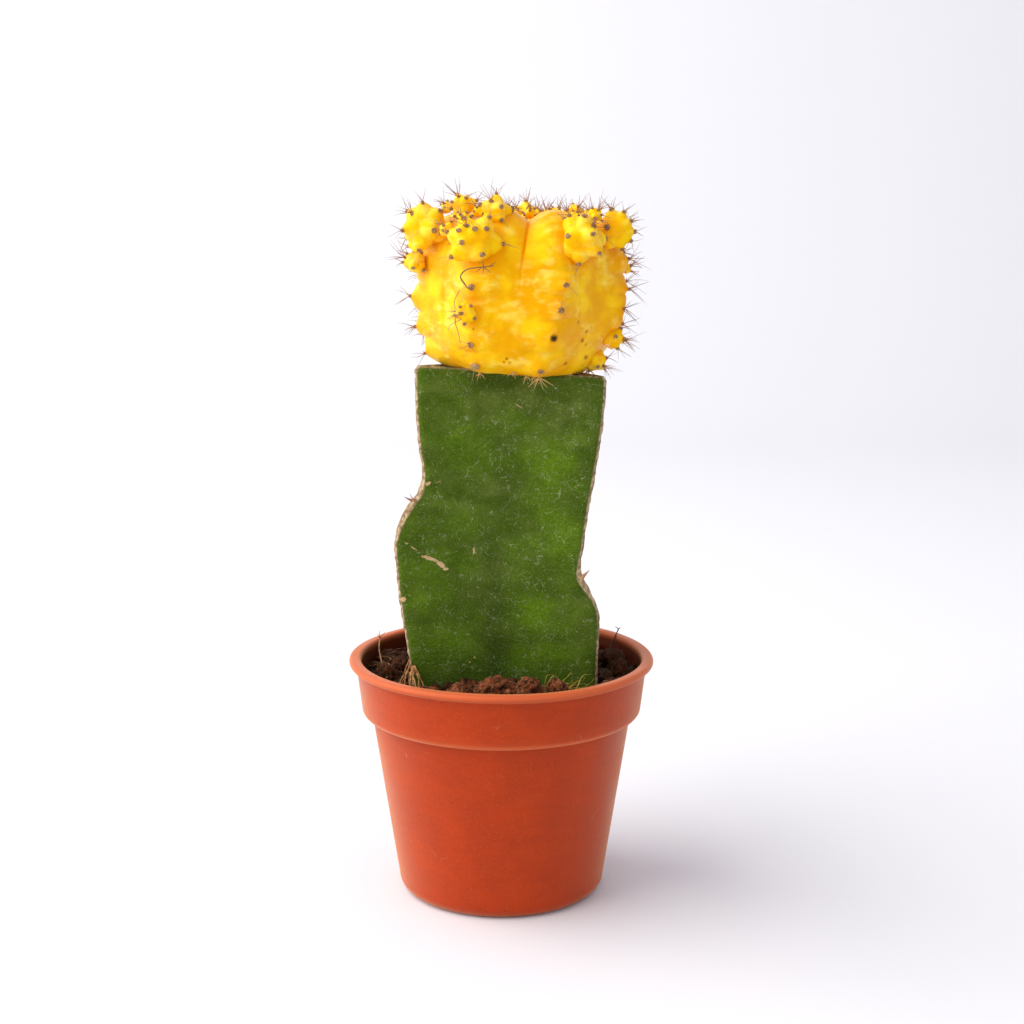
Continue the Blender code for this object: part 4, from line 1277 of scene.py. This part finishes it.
def scion_skin(azimuth, share):
    """Points, outward directions and warm marks of the scion's skin at arrays of azimuth and share."""
    radius, height = outline_at(share)
    low, high = outline_at(np.clip(share - 0.004, 0, 1)), outline_at(np.clip(share + 0.004, 0, 1))
    tangent = unit(np.stack([high[0] - low[0], high[1] - low[1]], -1))
    # The flank is slimmer on the right, most of all low down
    radius = radius - 1.2 * bell(apart(azimuth, 80), 42) * between(share, 0.16, 0.26, 0.40, 0.52)
    radius = radius - 0.6 * bell(apart(azimuth, 84), 40) * between(share, 0.26, 0.36, 0.62, 0.72)
    fade = np.sin(math.pi * np.clip((share - 0.12) / 0.84, 0, 1)) ** 0.6
    # The ribs are plainest at the back, where no lobes swell between them
    depth = RIB_DEPTH * (1 + 0.7 * ease(np.abs(apart(azimuth, 0)), 85, 130))
    ribbed = depth * fade * (rib_swell(azimuth, share) - 0.7) * (0.3 + 0.7 * ease(share, 0.3, 0.58))
    reach = np.maximum(radius, 1.0)
    along = length_at(share)
    relief, warm = areole_relief(azimuth, along, reach)
    front, fold_shade = front_relief(azimuth, share, along, reach)
    relief += front
    for line, start, end, cut in UPRIGHT_FOLDS:
        across = np.radians(apart(azimuth, line)) * reach
        relief -= cut * between(share, start, start + 0.06, end - 0.06, end) * bell(across, 0.55)
    angle = np.radians(azimuth)
    radial = np.stack([np.sin(angle), -np.cos(angle), np.zeros_like(angle)], -1)
    base = radial * (radius + ribbed)[..., None]
    base[..., 2] = height
    outward = radial * tangent[..., 1:2]
    outward[..., 2] = -tangent[..., 0]
    relief += 0.22 * lumps(base, 5.0, 2.2) + 0.09 * lumps(base, 1.7, 7.7)
    # The crown is sunk and knobbly
    relief += 0.45 * ease(share, 0.84, 0.95) * lumps(base, 1.8, 3.3)
    points = base + outward * relief[..., None]
    points[..., 2] += CUT_TILT * points[..., 0] * (1 - share) ** 2
    points[..., 0] += SCION_X
    return points, outward, np.clip(warm + fold_shade, 0, 1)


def skin_spot(azimuth, share):
    """One point of the scion's skin and the way it faces."""
    points, outward, _ = scion_skin(np.array([float(azimuth)]), np.array([float(share)]))
    return points[0], outward[0]


SCION_AREOLES = scion_areoles()


def make_scion(settings):
    """The yellow globe, with marks for its painted shade and warmer flesh, and for its dead and stained
    places.
    """
    sphere, faces = globe(SCION_AROUND, SCION_ALONG)
    share = 0.5 + np.arcsin(np.clip(sphere[:, 2], -1, 1)) / math.pi
    turn = np.arctan2(sphere[:, 0], -sphere[:, 1])
    azimuth = np.degrees(turn - FRONT_DENSITY * np.sin(turn))
    points, _, warm = scion_skin(azimuth, share)
    # Painted shade on the skin round each offset, where it presses against the scion
    for _, centre, radius, _ in OFFSETS:
        away = np.linalg.norm(points - np.array(centre), axis=1) - radius
        warm = np.maximum(warm, 0.7 * bell(np.maximum(away, 0), 0.7))
    scab_place, _ = skin_spot(*SCAB)
    ragged = 1 + 0.35 * lumps(points, 0.9, 4.4)
    scab = bell(np.linalg.norm(points - scab_place, axis=1) * ragged, SCAB_RADIUS, 6)
    ragged = 1 + 0.4 * lumps(points, 0.6, 6.1)
    stain = np.zeros(len(points))
    for spot_azimuth, height, radius in SCION_STAINS:
        place, _ = skin_spot(spot_azimuth, share_at(height))
        stain = np.maximum(stain, bell(np.linalg.norm(points - place, axis=1) * ragged, radius, 4))
    # The foot is warmer than the rest
    warm = np.clip(warm + 0.25 * ease(-share, -0.34, -0.2), 0, 1)
    look = waxy_scion_flesh("Waxy_scion_flesh", settings.colour, settings.lit_colour, settings.warm_and_shade_colour)
    marks = {"warm": warm, "scab": scab, "stain": stain}
    add_piece("scion_globe", points, faces, look, ["scion"], marks)


SCAB = SCION_AREOLES[9][:2]  # the one dead, black areole
BROAD_PAD = SCION_AREOLES[6][:2]  # the one with much more wool than the rest


# Offsets ---------------------------------------------------------------------------------------


def knob_directions(count, draw):
    """Where an offset's knobs point, with +Z away from the scion: an upper and a lower ring."""
    knobs = []
    for polar, number in ((46, max(count - 2, 3)), (92, count)):
        start = draw.uniform(0, 360)
        for i in range(number):
            lean = math.radians(polar + draw.uniform(-8, 8))
            turn = math.radians(start + 360 * i / number + draw.uniform(-12, 12))
            knobs.append((math.sin(lean) * math.cos(turn), math.sin(lean) * math.sin(turn), math.cos(lean)))
    return np.array(knobs)


def offset_shape(row, draw):
    """Points, faces and warm marks with painted shade of one offset, its knobs' and crown's directions, and
    their tips.
    """
    name, centre, radius, count = row
    centre = np.array(centre)
    crown = unit(np.array(LEANING_CROWNS.get(name, centre - SCION_CORE)))
    knobs = knob_directions(count, draw) @ turned_to(crown).T
    if name in FRONT_KNOBS:
        seen = [(u, -math.sqrt(max(0.02, 1 - u * u - v * v)), v) for u, v in FRONT_KNOBS[name]]
        knobs = np.concatenate([unit(np.array(seen)), knobs[knobs[:, 1] > 0.25]])
    sphere, faces = globe(72 if radius > 2.5 else 48, 48 if radius > 2.5 else 32)
    gap = np.arccos(np.clip(sphere @ knobs.T, -1, 1))
    width = 1.5 / math.sqrt(len(knobs))
    swell = KNOB_SWELL * bell(gap, width).max(1) + TIP_SWELL * bell(gap, 0.2, 1.3).max(1)
    wander = 0.05 * lumps(sphere, 0.7, draw.uniform(0, 50)) + 0.015 * lumps(sphere, 0.2, 5.0)
    size = (OFFSET_CORE + swell + wander) * radius
    points = sphere * size[:, None] + centre
    # Painted shade between the knobs and on the side that faces the scion; the knob tips are warmer too
    warm = 0.4 * bell(gap.min(1), 0.22) + 0.35 * ease(-sphere @ crown, 0.1, 0.8)
    warm += 0.6 * (1 - ease(swell, 0.03, 0.12))
    tips = points[np.append(gap.argmin(0), np.argmax(sphere @ crown))]
    return points, faces, np.clip(warm, 0, 1), knobs, crown, tips


def inside_scion(point):
    """Whether a point is under the scion's skin, or so near that an areole would touch it."""
    flat = math.hypot(point[0] - SCION_X, point[1])
    return 97 < point[2] < 121.6 and flat < float(np.interp(point[2], *FLANK)) + 0.5


FLANK = outline_at(np.linspace(FOOT, SHOULDER, 60))[::-1]


def make_offsets(settings):
    """The young plants on the scion, and the list of their areoles."""
    draw = random.Random(77)
    flesh = waxy_scion_flesh("Waxy_offset_flesh", settings.colour, settings.lit_colour, settings.warm_and_shade_colour)
    small = Gathered()
    areoles = []
    for row in OFFSETS:
        points, faces, warm, knobs, crown, tips = offset_shape(row, draw)
        if row[0]:
            marks = {"warm": warm, "scab": np.zeros(len(points))}
            add_piece("young_" + row[0], points, faces, flesh, [row[0]], marks)
        else:
            small.add(points, faces, warm=warm, scab=0.0)
        radius = row[2]
        size = min(0.50, 0.18 + 0.085 * radius)
        for knob, tip in zip(knobs, tips):
            if not inside_scion(tip) and (knob @ crown > -0.2 or row[0] in FRONT_KNOBS):
                plain = not row[0] or (knob[1] < -0.55 and radius > 1.7)
                areoles.append((tip, knob, size, "front" if plain else "offset"))
        areoles.append((tips[-1], crown, size * 1.2, "crown" if row[0] else "bare"))
    small.as_piece("young_offsets_small", flesh, "offset")
    return areoles


# Areoles and spines ----------------------------------------------------------------------------


def add_wool(gathered, foot, aim, size, draw, pale=0.0):
    """A pad of matted wool with a fringe of short hairs."""
    points, faces = WOOL_SHAPE
    turn = turned_to(aim)
    rough = 1 + 0.22 * lumps(points, 0.6, draw.uniform(0, 90))
    pad = points * rough[:, None] * np.array((size, size * draw.uniform(0.7, 1.0), size * 0.5))
    gathered.add(pad @ turn.T + foot, faces, pale=pale, along=0.0)
    for _ in range(6):
        way = draw.uniform(0, 2 * math.pi)
        lean = draw.uniform(0.5, 1.3)
        hair = turn @ np.array((math.cos(way) * lean, math.sin(way) * lean, 0.6))
        start = foot + hair * size * 0.4
        droop = np.array((0, 0, draw.uniform(-0.3, 0.3)))
        path = [start, start + hair * size * 0.35, start + (hair + droop) * size * 0.65]
        gathered.add_strand(path, (0.045, 0.035, 0.015), 3, pale=pale)


WOOL_SHAPE = ball(3)
SPINE_STYLES = {
    # kind: fewest, most, shortest, longest, spread, bend, straw
    "flank": (2, 4, 1.5, 3.2, 1.2, 0.35, 0.12),
    "side": (4, 6, 2.2, 4.4, 1.1, 0.40, 0.02),
    "offset": (2, 4, 1.4, 3.1, 0.95, 0.38, 0.15),
    "front": (0, 2, 0.8, 2.0, 1.1, 0.35, 0.25),
    "crown": (6, 9, 2.0, 4.0, 0.75, 0.45, 0.12),
    "bare": (3, 5, 1.6, 3.4, 0.70, 0.35, 0.12),
    "foot": (4, 6, 1.4, 2.6, 1.5, 0.40, 0.85),
    "papery": (6, 8, 1.6, 3.0, 1.5, 0.35, 1.0),
}


def add_spines(gathered, foot, aim, kind, draw, scale=1.0):
    """The spines of one areole, fanned out and a little curved."""
    fewest, most, shortest, longest, spread, bend, straw = SPINE_STYLES[kind]
    turn = turned_to(aim)
    count = draw.randint(fewest, most)
    start_way = draw.uniform(0, 2 * math.pi)
    for i in range(count):
        way = start_way + 2 * math.pi * i / count + draw.uniform(-0.35, 0.35)
        lean = spread * draw.uniform(0.45, 1.1)
        run = unit(turn @ np.array((math.cos(way) * lean, math.sin(way) * lean, 1.0)))
        length = draw.uniform(shortest, longest) * scale
        curl = np.cross(run, turn @ np.array((math.cos(way), math.sin(way), 0.2))) * draw.uniform(-1, 1)
        curl = curl + np.array((0, 0, draw.uniform(-1.0, 0.5)))
        along = np.linspace(0, 1, 7)[:, None]
        path = foot + run * along * length + curl * bend * length * along ** 2 * 0.6
        thick = draw.uniform(0.045, 0.070) * (1.6 if kind in ("papery", "foot") else 1.0)
        tint = straw + draw.uniform(-0.1, 0.15)
        gathered.add_strand(path, thick * (1 - 0.75 * along[:, 0] ** 1.4), 4, straw=tint, withered=0.0)


def make_spines(offset_areoles):
    """The wool and spines of every areole on the scion and its offsets, and the dead spines."""
    draw = random.Random(9)
    wool, flank_spines, offset_spines = Gathered(), Gathered(), Gathered()
    for azimuth, share, _ in SCION_AREOLES:
        foot, aim = skin_spot(azimuth, share)
        aim = unit(aim + (0, 0, 0.1))
        if (azimuth, share) == SCAB:
            continue
        kind = "side" if abs(apart(azimuth, 0)) > 55 else "flank"
        if (azimuth, share) == BROAD_PAD:
            add_wool(wool, foot, aim, 0.85, draw, pale=0.3)
        else:
            add_wool(wool, foot, aim, 0.58 if kind == "flank" else 0.42, draw)
        add_spines(flank_spines, foot + aim * 0.1, aim, kind, draw, 0.72 if apart(azimuth, 0) < -55 else 1.0)
    for azimuth, share in CROWN_SPOTS:
        foot, aim = skin_spot(azimuth, share)
        add_wool(wool, foot, aim, 0.40, draw)
        add_spines(flank_spines, foot + aim * 0.1, aim, "bare", draw)
    for azimuth in FOOT_TUFTS:
        foot, aim = skin_spot(azimuth, 0.235 + draw.uniform(-0.02, 0.02))
        aim = unit(aim + (0, 0, -0.2))
        kind = "papery" if azimuth == PAPERY_TUFT else "foot"
        add_wool(wool, foot, aim, draw.uniform(0.22, 0.36), draw, pale=0.8)
        add_spines(flank_spines, foot, aim, kind, draw, draw.uniform(0.4, 1.2))
    for foot, aim, size, kind in offset_areoles:
        add_wool(wool, foot, aim, size, draw)
        add_spines(offset_spines, foot + aim * 0.1, aim, kind, draw, 0.75 + size * 0.5)
    for path, first, last, olive in DEAD_SPINES:
        steps = 5 * len(path)
        radii = np.linspace(first, last, steps)
        flank_spines.add_strand(curve_through(path, steps), radii, 6, straw=0.0, withered=olive)
    horn = dry_spine()
    tufts = [name for name in sorted(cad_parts) if name.startswith("spine_tuft_")]
    flank_spines.as_piece("scion_spines", horn, "spine", tufts)
    offset_spines.as_piece("offset_spines", horn, "spine")
    wool.as_piece("areole_wool", areole_wool(), "spine")


# Roots -----------------------------------------------------------------------------------------


def curve_through(points, steps):
    """A smooth path through a few points."""
    keys = np.linspace(0, len(points) - 1, steps)
    return np.stack([smooth(list(enumerate(axis)), keys) for axis in np.array(points, float).T], -1)


def root_path(start, knee, end, steps, wave):
    """A root's path through three points, with a small wave along it."""
    return curve_through([start, knee, end], steps) + np.array([wave(k) for k in range(steps)])


def make_roots():
    """The aerial roots at the stem's foot, and the dry twigs that lie in the peat."""
    draw = random.Random(31)
    left = Gathered()
    for i in range(11):
        start = (-16.2 + 0.1 * i, -10.0 - 0.12 * i, 45.0 - draw.uniform(0, 1.6))
        end = (-18.4 + 0.5 * i + draw.uniform(-0.7, 0.7), -12.0 - 0.3 * i + draw.uniform(-0.8, 0.8), 39.9)
        knee = [(a + b) / 2 + draw.uniform(-0.5, 0.5) for a, b in zip(start, end)]
        path = root_path(start, knee, end, 12, lambda k: (
            0.07 * math.sin(1.9 * k + i), 0.07 * math.cos(1.3 * k + i), 0))
        left.add_strand(path, np.linspace(0.26, 0.09, 12) * draw.uniform(0.4, 1.1), 6)
    look = dry_root("Dried_aerial_roots", "#7d4f28", "#bd8c56")
    left.as_piece("roots_left", look, "root", ["root_left_outer", "root_left_inner"])
    right = Gathered()
    for i in range(13):
        # Most lie along the peat, a few arch up against the stem
        arch = 2.2 if i % 4 == 0 else draw.uniform(0.2, 0.9)
        start = (draw.uniform(7.0, 12.5), draw.uniform(-17.8, -15.6), 40.9 + draw.uniform(-0.2, 0.4))
        end = (start[0] + draw.uniform(2.5, 6.0), draw.uniform(-14.0, -11.6), 41.6 + draw.uniform(-0.6, 1.5))
        end = (min(end[0], 17.2), end[1], end[2])
        knee = ((start[0] + end[0]) / 2 + draw.uniform(-1.2, 1.2), (start[1] + end[1]) / 2, 41.3 + arch)
        path = root_path(start, knee, end, 14, lambda k: (
            0, 0.12 * math.sin(1.7 * k + i), 0.12 * math.cos(1.1 * k + 2 * i)))
        right.add_strand(path, np.linspace(0.10, 0.05, 14), 5)
    look = dry_root("Fresh_hair_roots", "#6a6a1a", "#a89a3c")
    right.as_piece("roots_right", look, "root", ["root_right_front"])
    for name, nodes, material, dark, pale, trunk, steps, ends, fork, tips in DRY_TWIGS:
        twig = Gathered()
        twig.add_strand(curve_through(trunk, steps), np.linspace(*ends, steps), 6)
        for tip in tips:
            twig.add_strand(curve_through([fork, tip], 5), np.linspace(0.10, 0.04, 5), 5)
        twig.as_piece(name, dry_root(material, dark, pale), "root", nodes)


# Stage -----------------------------------------------------------------------------------------


def make_stage(settings):
    """A pale swept floor, soft lights round it, and the camera."""
    bend = [(math.sin(a) * SWEEP_BEND, (1 - math.cos(a)) * SWEEP_BEND) for a in np.radians(range(6, 91, 6))]
    sweep = [(-SWEEP_FRONT, 0.0), (SWEEP_BACK, 0.0)]
    sweep += [(SWEEP_BACK + back, up) for back, up in bend]
    sweep += [(SWEEP_BACK + SWEEP_BEND, SWEEP_TOP)]
    points = [(x, y, z) for y, z in sweep for x in (-SWEEP_HALF, SWEEP_HALF)]
    faces = [(2 * i, 2 * i + 1, 2 * i + 3, 2 * i + 2) for i in range(len(sweep) - 1)]
    mesh = bpy.data.meshes.new("studio_sweep")
    mesh.from_pydata(points, [], faces)
    mesh.shade_smooth()
    mesh.materials.append(matt_paint("Matt_emulsion_board", settings.floor))
    floor = bpy.data.objects.new("studio_sweep", mesh)
    bpy.context.scene.collection.objects.link(floor)
    for name, power, place, target, size, colour in LIGHTS:
        add_light(name, place, target, size, getattr(settings, power), colour)
    world = bpy.data.worlds.new("studio_air")
    world.use_nodes = True
    background = world.node_tree.nodes["Background"]
    background.inputs[0].default_value = srgb("#fcfbff")
    background.inputs[1].default_value = settings.ambient
    bpy.context.scene.world = world
    camera_data = bpy.data.cameras.new("camera")
    camera_data.sensor_width = CAMERA_SENSOR
    camera_data.lens = CAMERA_LENS
    camera_data.shift_x = CAMERA_SHIFT
    camera = bpy.data.objects.new("camera", camera_data)
    camera.location = CAMERA_PLACE
    camera.rotation_euler = (math.radians(90 - CAMERA_DIP), 0, 0)
    bpy.context.scene.collection.objects.link(camera)
    bpy.context.scene.camera = camera
    bpy.context.scene.view_settings.view_transform = "Standard"


def add_light(name, place, target, size, power, colour):
    """A square soft light that faces the target."""
    data = bpy.data.lights.new(name, "AREA")
    data.size = size
    data.energy = power
    data.color = srgb(colour)[:3]
    lamp = bpy.data.objects.new(name, data)
    lamp.location = place
    lamp.rotation_euler = (Vector(target) - Vector(place)).to_track_quat("-Z", "Y").to_euler()
    bpy.context.scene.collection.objects.link(lamp)


# Settings, operators and panel -----------------------------------------------------------------


def colour_property(name, description, code):
    return bpy.props.FloatVectorProperty(
        name=name, description=description, default=srgb(code), size=4, min=0, max=1, subtype="COLOR"
    )


def length_property(name, description, millimetre):
    return bpy.props.FloatProperty(
        name=name, description=description, default=millimetre * MM, min=0, unit="LENGTH", subtype="DISTANCE"
    )


def power_property(name, description, watts):
    return bpy.props.FloatProperty(name=name, description=description, default=watts, min=0, unit="POWER")


class PotSettings(bpy.types.PropertyGroup):
    colour: colour_property("Plastic", "Colour of the moulded plastic", "#af350d")
    wall: length_property("Wall", "Thickness of the pot's wall", POT_WALL)
    drain: length_property("Drain Hole", "Radius of each drain hole", 2.2)
    segments: bpy.props.IntProperty(name="Segments", description="Steps round the pot", default=160, min=24)


class PeatSettings(bpy.types.PropertyGroup):
    dark: colour_property("Hollows", "Colour of the peat's hollows", "#100603")
    light: colour_property("Lumps", "Colour of the peat's lumps", "#3a1c0f")
    gap: length_property("Gap", "Space between the peat and the pot", 0.3)
    crumbs: bpy.props.IntProperty(name="Crumbs", description="Loose crumbs on the peat", default=420, min=0)
    fibres: bpy.props.IntProperty(name="Fibres", description="Coir fibres on the peat", default=230, min=0)


class StemSettings(bpy.types.PropertyGroup):
    colour: colour_property("Skin", "Main colour of the rootstock's skin", "#334b07")
    patch_colour: colour_property("Patches", "Colour of its lighter patches", "#527505")
    unevenness: length_property("Unevenness", "How much the faces swell and sink", 0.22)


class ScionSettings(bpy.types.PropertyGroup):
    colour: colour_property("Flesh", "Main colour of the scion's flesh", "#eaa700")
    lit_colour: colour_property("Pale Flesh", "Colour of the scion's paler flesh", "#fac90e")
    # Colour of the painted shade, and of the warmer flesh round the areoles
    warm_and_shade_colour: colour_property("Warm Flesh", "Colour in folds and round the areoles", "#f09800")


class OffsetSettings(bpy.types.PropertyGroup):
    colour: colour_property("Flesh", "Main colour of the offsets' flesh", "#fabf02")
    lit_colour: colour_property("Pale Flesh", "Colour of the offsets' paler flesh", "#fdcf0c")
    # Colour of the painted shade between the knobs, and of the warmer knob tips
    warm_and_shade_colour: colour_property("Warm Flesh", "Colour between and on the knobs", "#f2a002")


class StageSettings(bpy.types.PropertyGroup):
    floor: colour_property("Floor", "Colour of the studio floor", "#e0e1e6")
    key: power_property("Window", "Power of the soft light at the left", 16.0)
    fill: power_property("Right Fill", "Power of the weak light at the right", 0.5)
    front: power_property("Front Fill", "Power of the weak light in front", 0.5)
    backdrop: power_property("Backdrop", "Power of the light on the backdrop", 0.5)
    ambient: bpy.props.FloatProperty(name="Air", description="Brightness of the room", default=0.67, min=0)


class MoonCactusSettings(bpy.types.PropertyGroup):
    pot: bpy.props.PointerProperty(type=PotSettings, name="Pot", description="The nursery pot")
    peat: bpy.props.PointerProperty(type=PeatSettings, name="Peat", description="The peat in the pot")
    stem: bpy.props.PointerProperty(type=StemSettings, name="Rootstock", description="The green stem")
    scion: bpy.props.PointerProperty(type=ScionSettings, name="Scion", description="The yellow globe")
    offsets: bpy.props.PointerProperty(type=OffsetSettings, name="Offsets", description="The young globes")
    stage: bpy.props.PointerProperty(type=StageSettings, name="Stage", description="Floor and lights")


class MOONCACTUS_OT_add_pot(bpy.types.Operator):
    """Add the moulded nursery pot with its collar, lip and drain holes"""

    bl_idname = "moon_cactus.add_pot"
    bl_label = "Nursery Pot"

    def execute(self, context):
        make_pot(context.scene.moon_cactus.pot)
        return {"FINISHED"}


class MOONCACTUS_OT_add_peat(bpy.types.Operator):
    """Add the peat with its clods, crumbs and coir fibres"""

    bl_idname = "moon_cactus.add_peat"
    bl_label = "Peat"

    def execute(self, context):
        make_peat(context.scene.moon_cactus.peat)
        return {"FINISHED"}


class MOONCACTUS_OT_add_stem(bpy.types.Operator):
    """Add the three-winged rootstock with its corky margins and thorns"""

    bl_idname = "moon_cactus.add_stem"
    bl_label = "Rootstock"

    def execute(self, context):
        make_stem(context.scene.moon_cactus.stem)
        return {"FINISHED"}


class MOONCACTUS_OT_add_scion(bpy.types.Operator):
    """Add the yellow ribbed globe that is grafted on the rootstock"""

    bl_idname = "moon_cactus.add_scion"
    bl_label = "Scion"

    def execute(self, context):
        make_scion(context.scene.moon_cactus.scion)
        return {"FINISHED"}


class MOONCACTUS_OT_add_offsets(bpy.types.Operator):
    """Add the young globes on the scion, then the wool and spines of every areole"""

    bl_idname = "moon_cactus.add_offsets"
    bl_label = "Offsets and Spines"

    def execute(self, context):
        make_spines(make_offsets(context.scene.moon_cactus.offsets))
        return {"FINISHED"}


class MOONCACTUS_OT_add_roots(bpy.types.Operator):
    """Add the aerial roots at the foot of the rootstock and the dry twigs"""

    bl_idname = "moon_cactus.add_roots"
    bl_label = "Roots"

    def execute(self, context):
        make_roots()
        return {"FINISHED"}


class MOONCACTUS_OT_add_stage(bpy.types.Operator):
    """Add the pale swept floor, the soft lights and the camera"""

    bl_idname = "moon_cactus.add_stage"
    bl_label = "Studio"

    def execute(self, context):
        make_stage(context.scene.moon_cactus.stage)
        return {"FINISHED"}


OPERATORS = (
    MOONCACTUS_OT_add_stage,
    MOONCACTUS_OT_add_pot,
    MOONCACTUS_OT_add_peat,
    MOONCACTUS_OT_add_stem,
    MOONCACTUS_OT_add_scion,
    MOONCACTUS_OT_add_offsets,
    MOONCACTUS_OT_add_roots,
)


class MOONCACTUS_PT_panel(bpy.types.Panel):
    """Settings and buttons of the moon cactus"""

    bl_label = "Moon Cactus"
    bl_idname = "MOONCACTUS_PT_panel"
    bl_space_type = "VIEW_3D"
    bl_region_type = "UI"
    bl_category = "Moon Cactus"

    def draw(self, context):
        settings = context.scene.moon_cactus
        for group in ("pot", "peat", "stem", "scion", "offsets", "stage"):
            box = self.layout.box()
            part = getattr(settings, group)
            box.label(text=settings.bl_rna.properties[group].name)
            for name in part.__annotations__:
                box.prop(part, name)
        for operator in OPERATORS:
            self.layout.operator(operator.bl_idname)


CLASSES = (
    PotSettings,
    PeatSettings,
    StemSettings,
    ScionSettings,
    OffsetSettings,
    StageSettings,
    MoonCactusSettings,
    *OPERATORS,
    MOONCACTUS_PT_panel,
)


def register():
    for made in CLASSES:
        bpy.utils.register_class(made)
    bpy.types.Scene.moon_cactus = bpy.props.PointerProperty(type=MoonCactusSettings)


def unregister():
    del bpy.types.Scene.moon_cactus
    for made in reversed(CLASSES):
        bpy.utils.unregister_class(made)


def main():
    register()
    bpy.ops.moon_cactus.add_stage()
    bpy.ops.moon_cactus.add_pot()
    bpy.ops.moon_cactus.add_peat()
    bpy.ops.moon_cactus.add_stem()
    bpy.ops.moon_cactus.add_scion()
    bpy.ops.moon_cactus.add_offsets()
    bpy.ops.moon_cactus.add_roots()


if __name__ == "__main__":
    main()
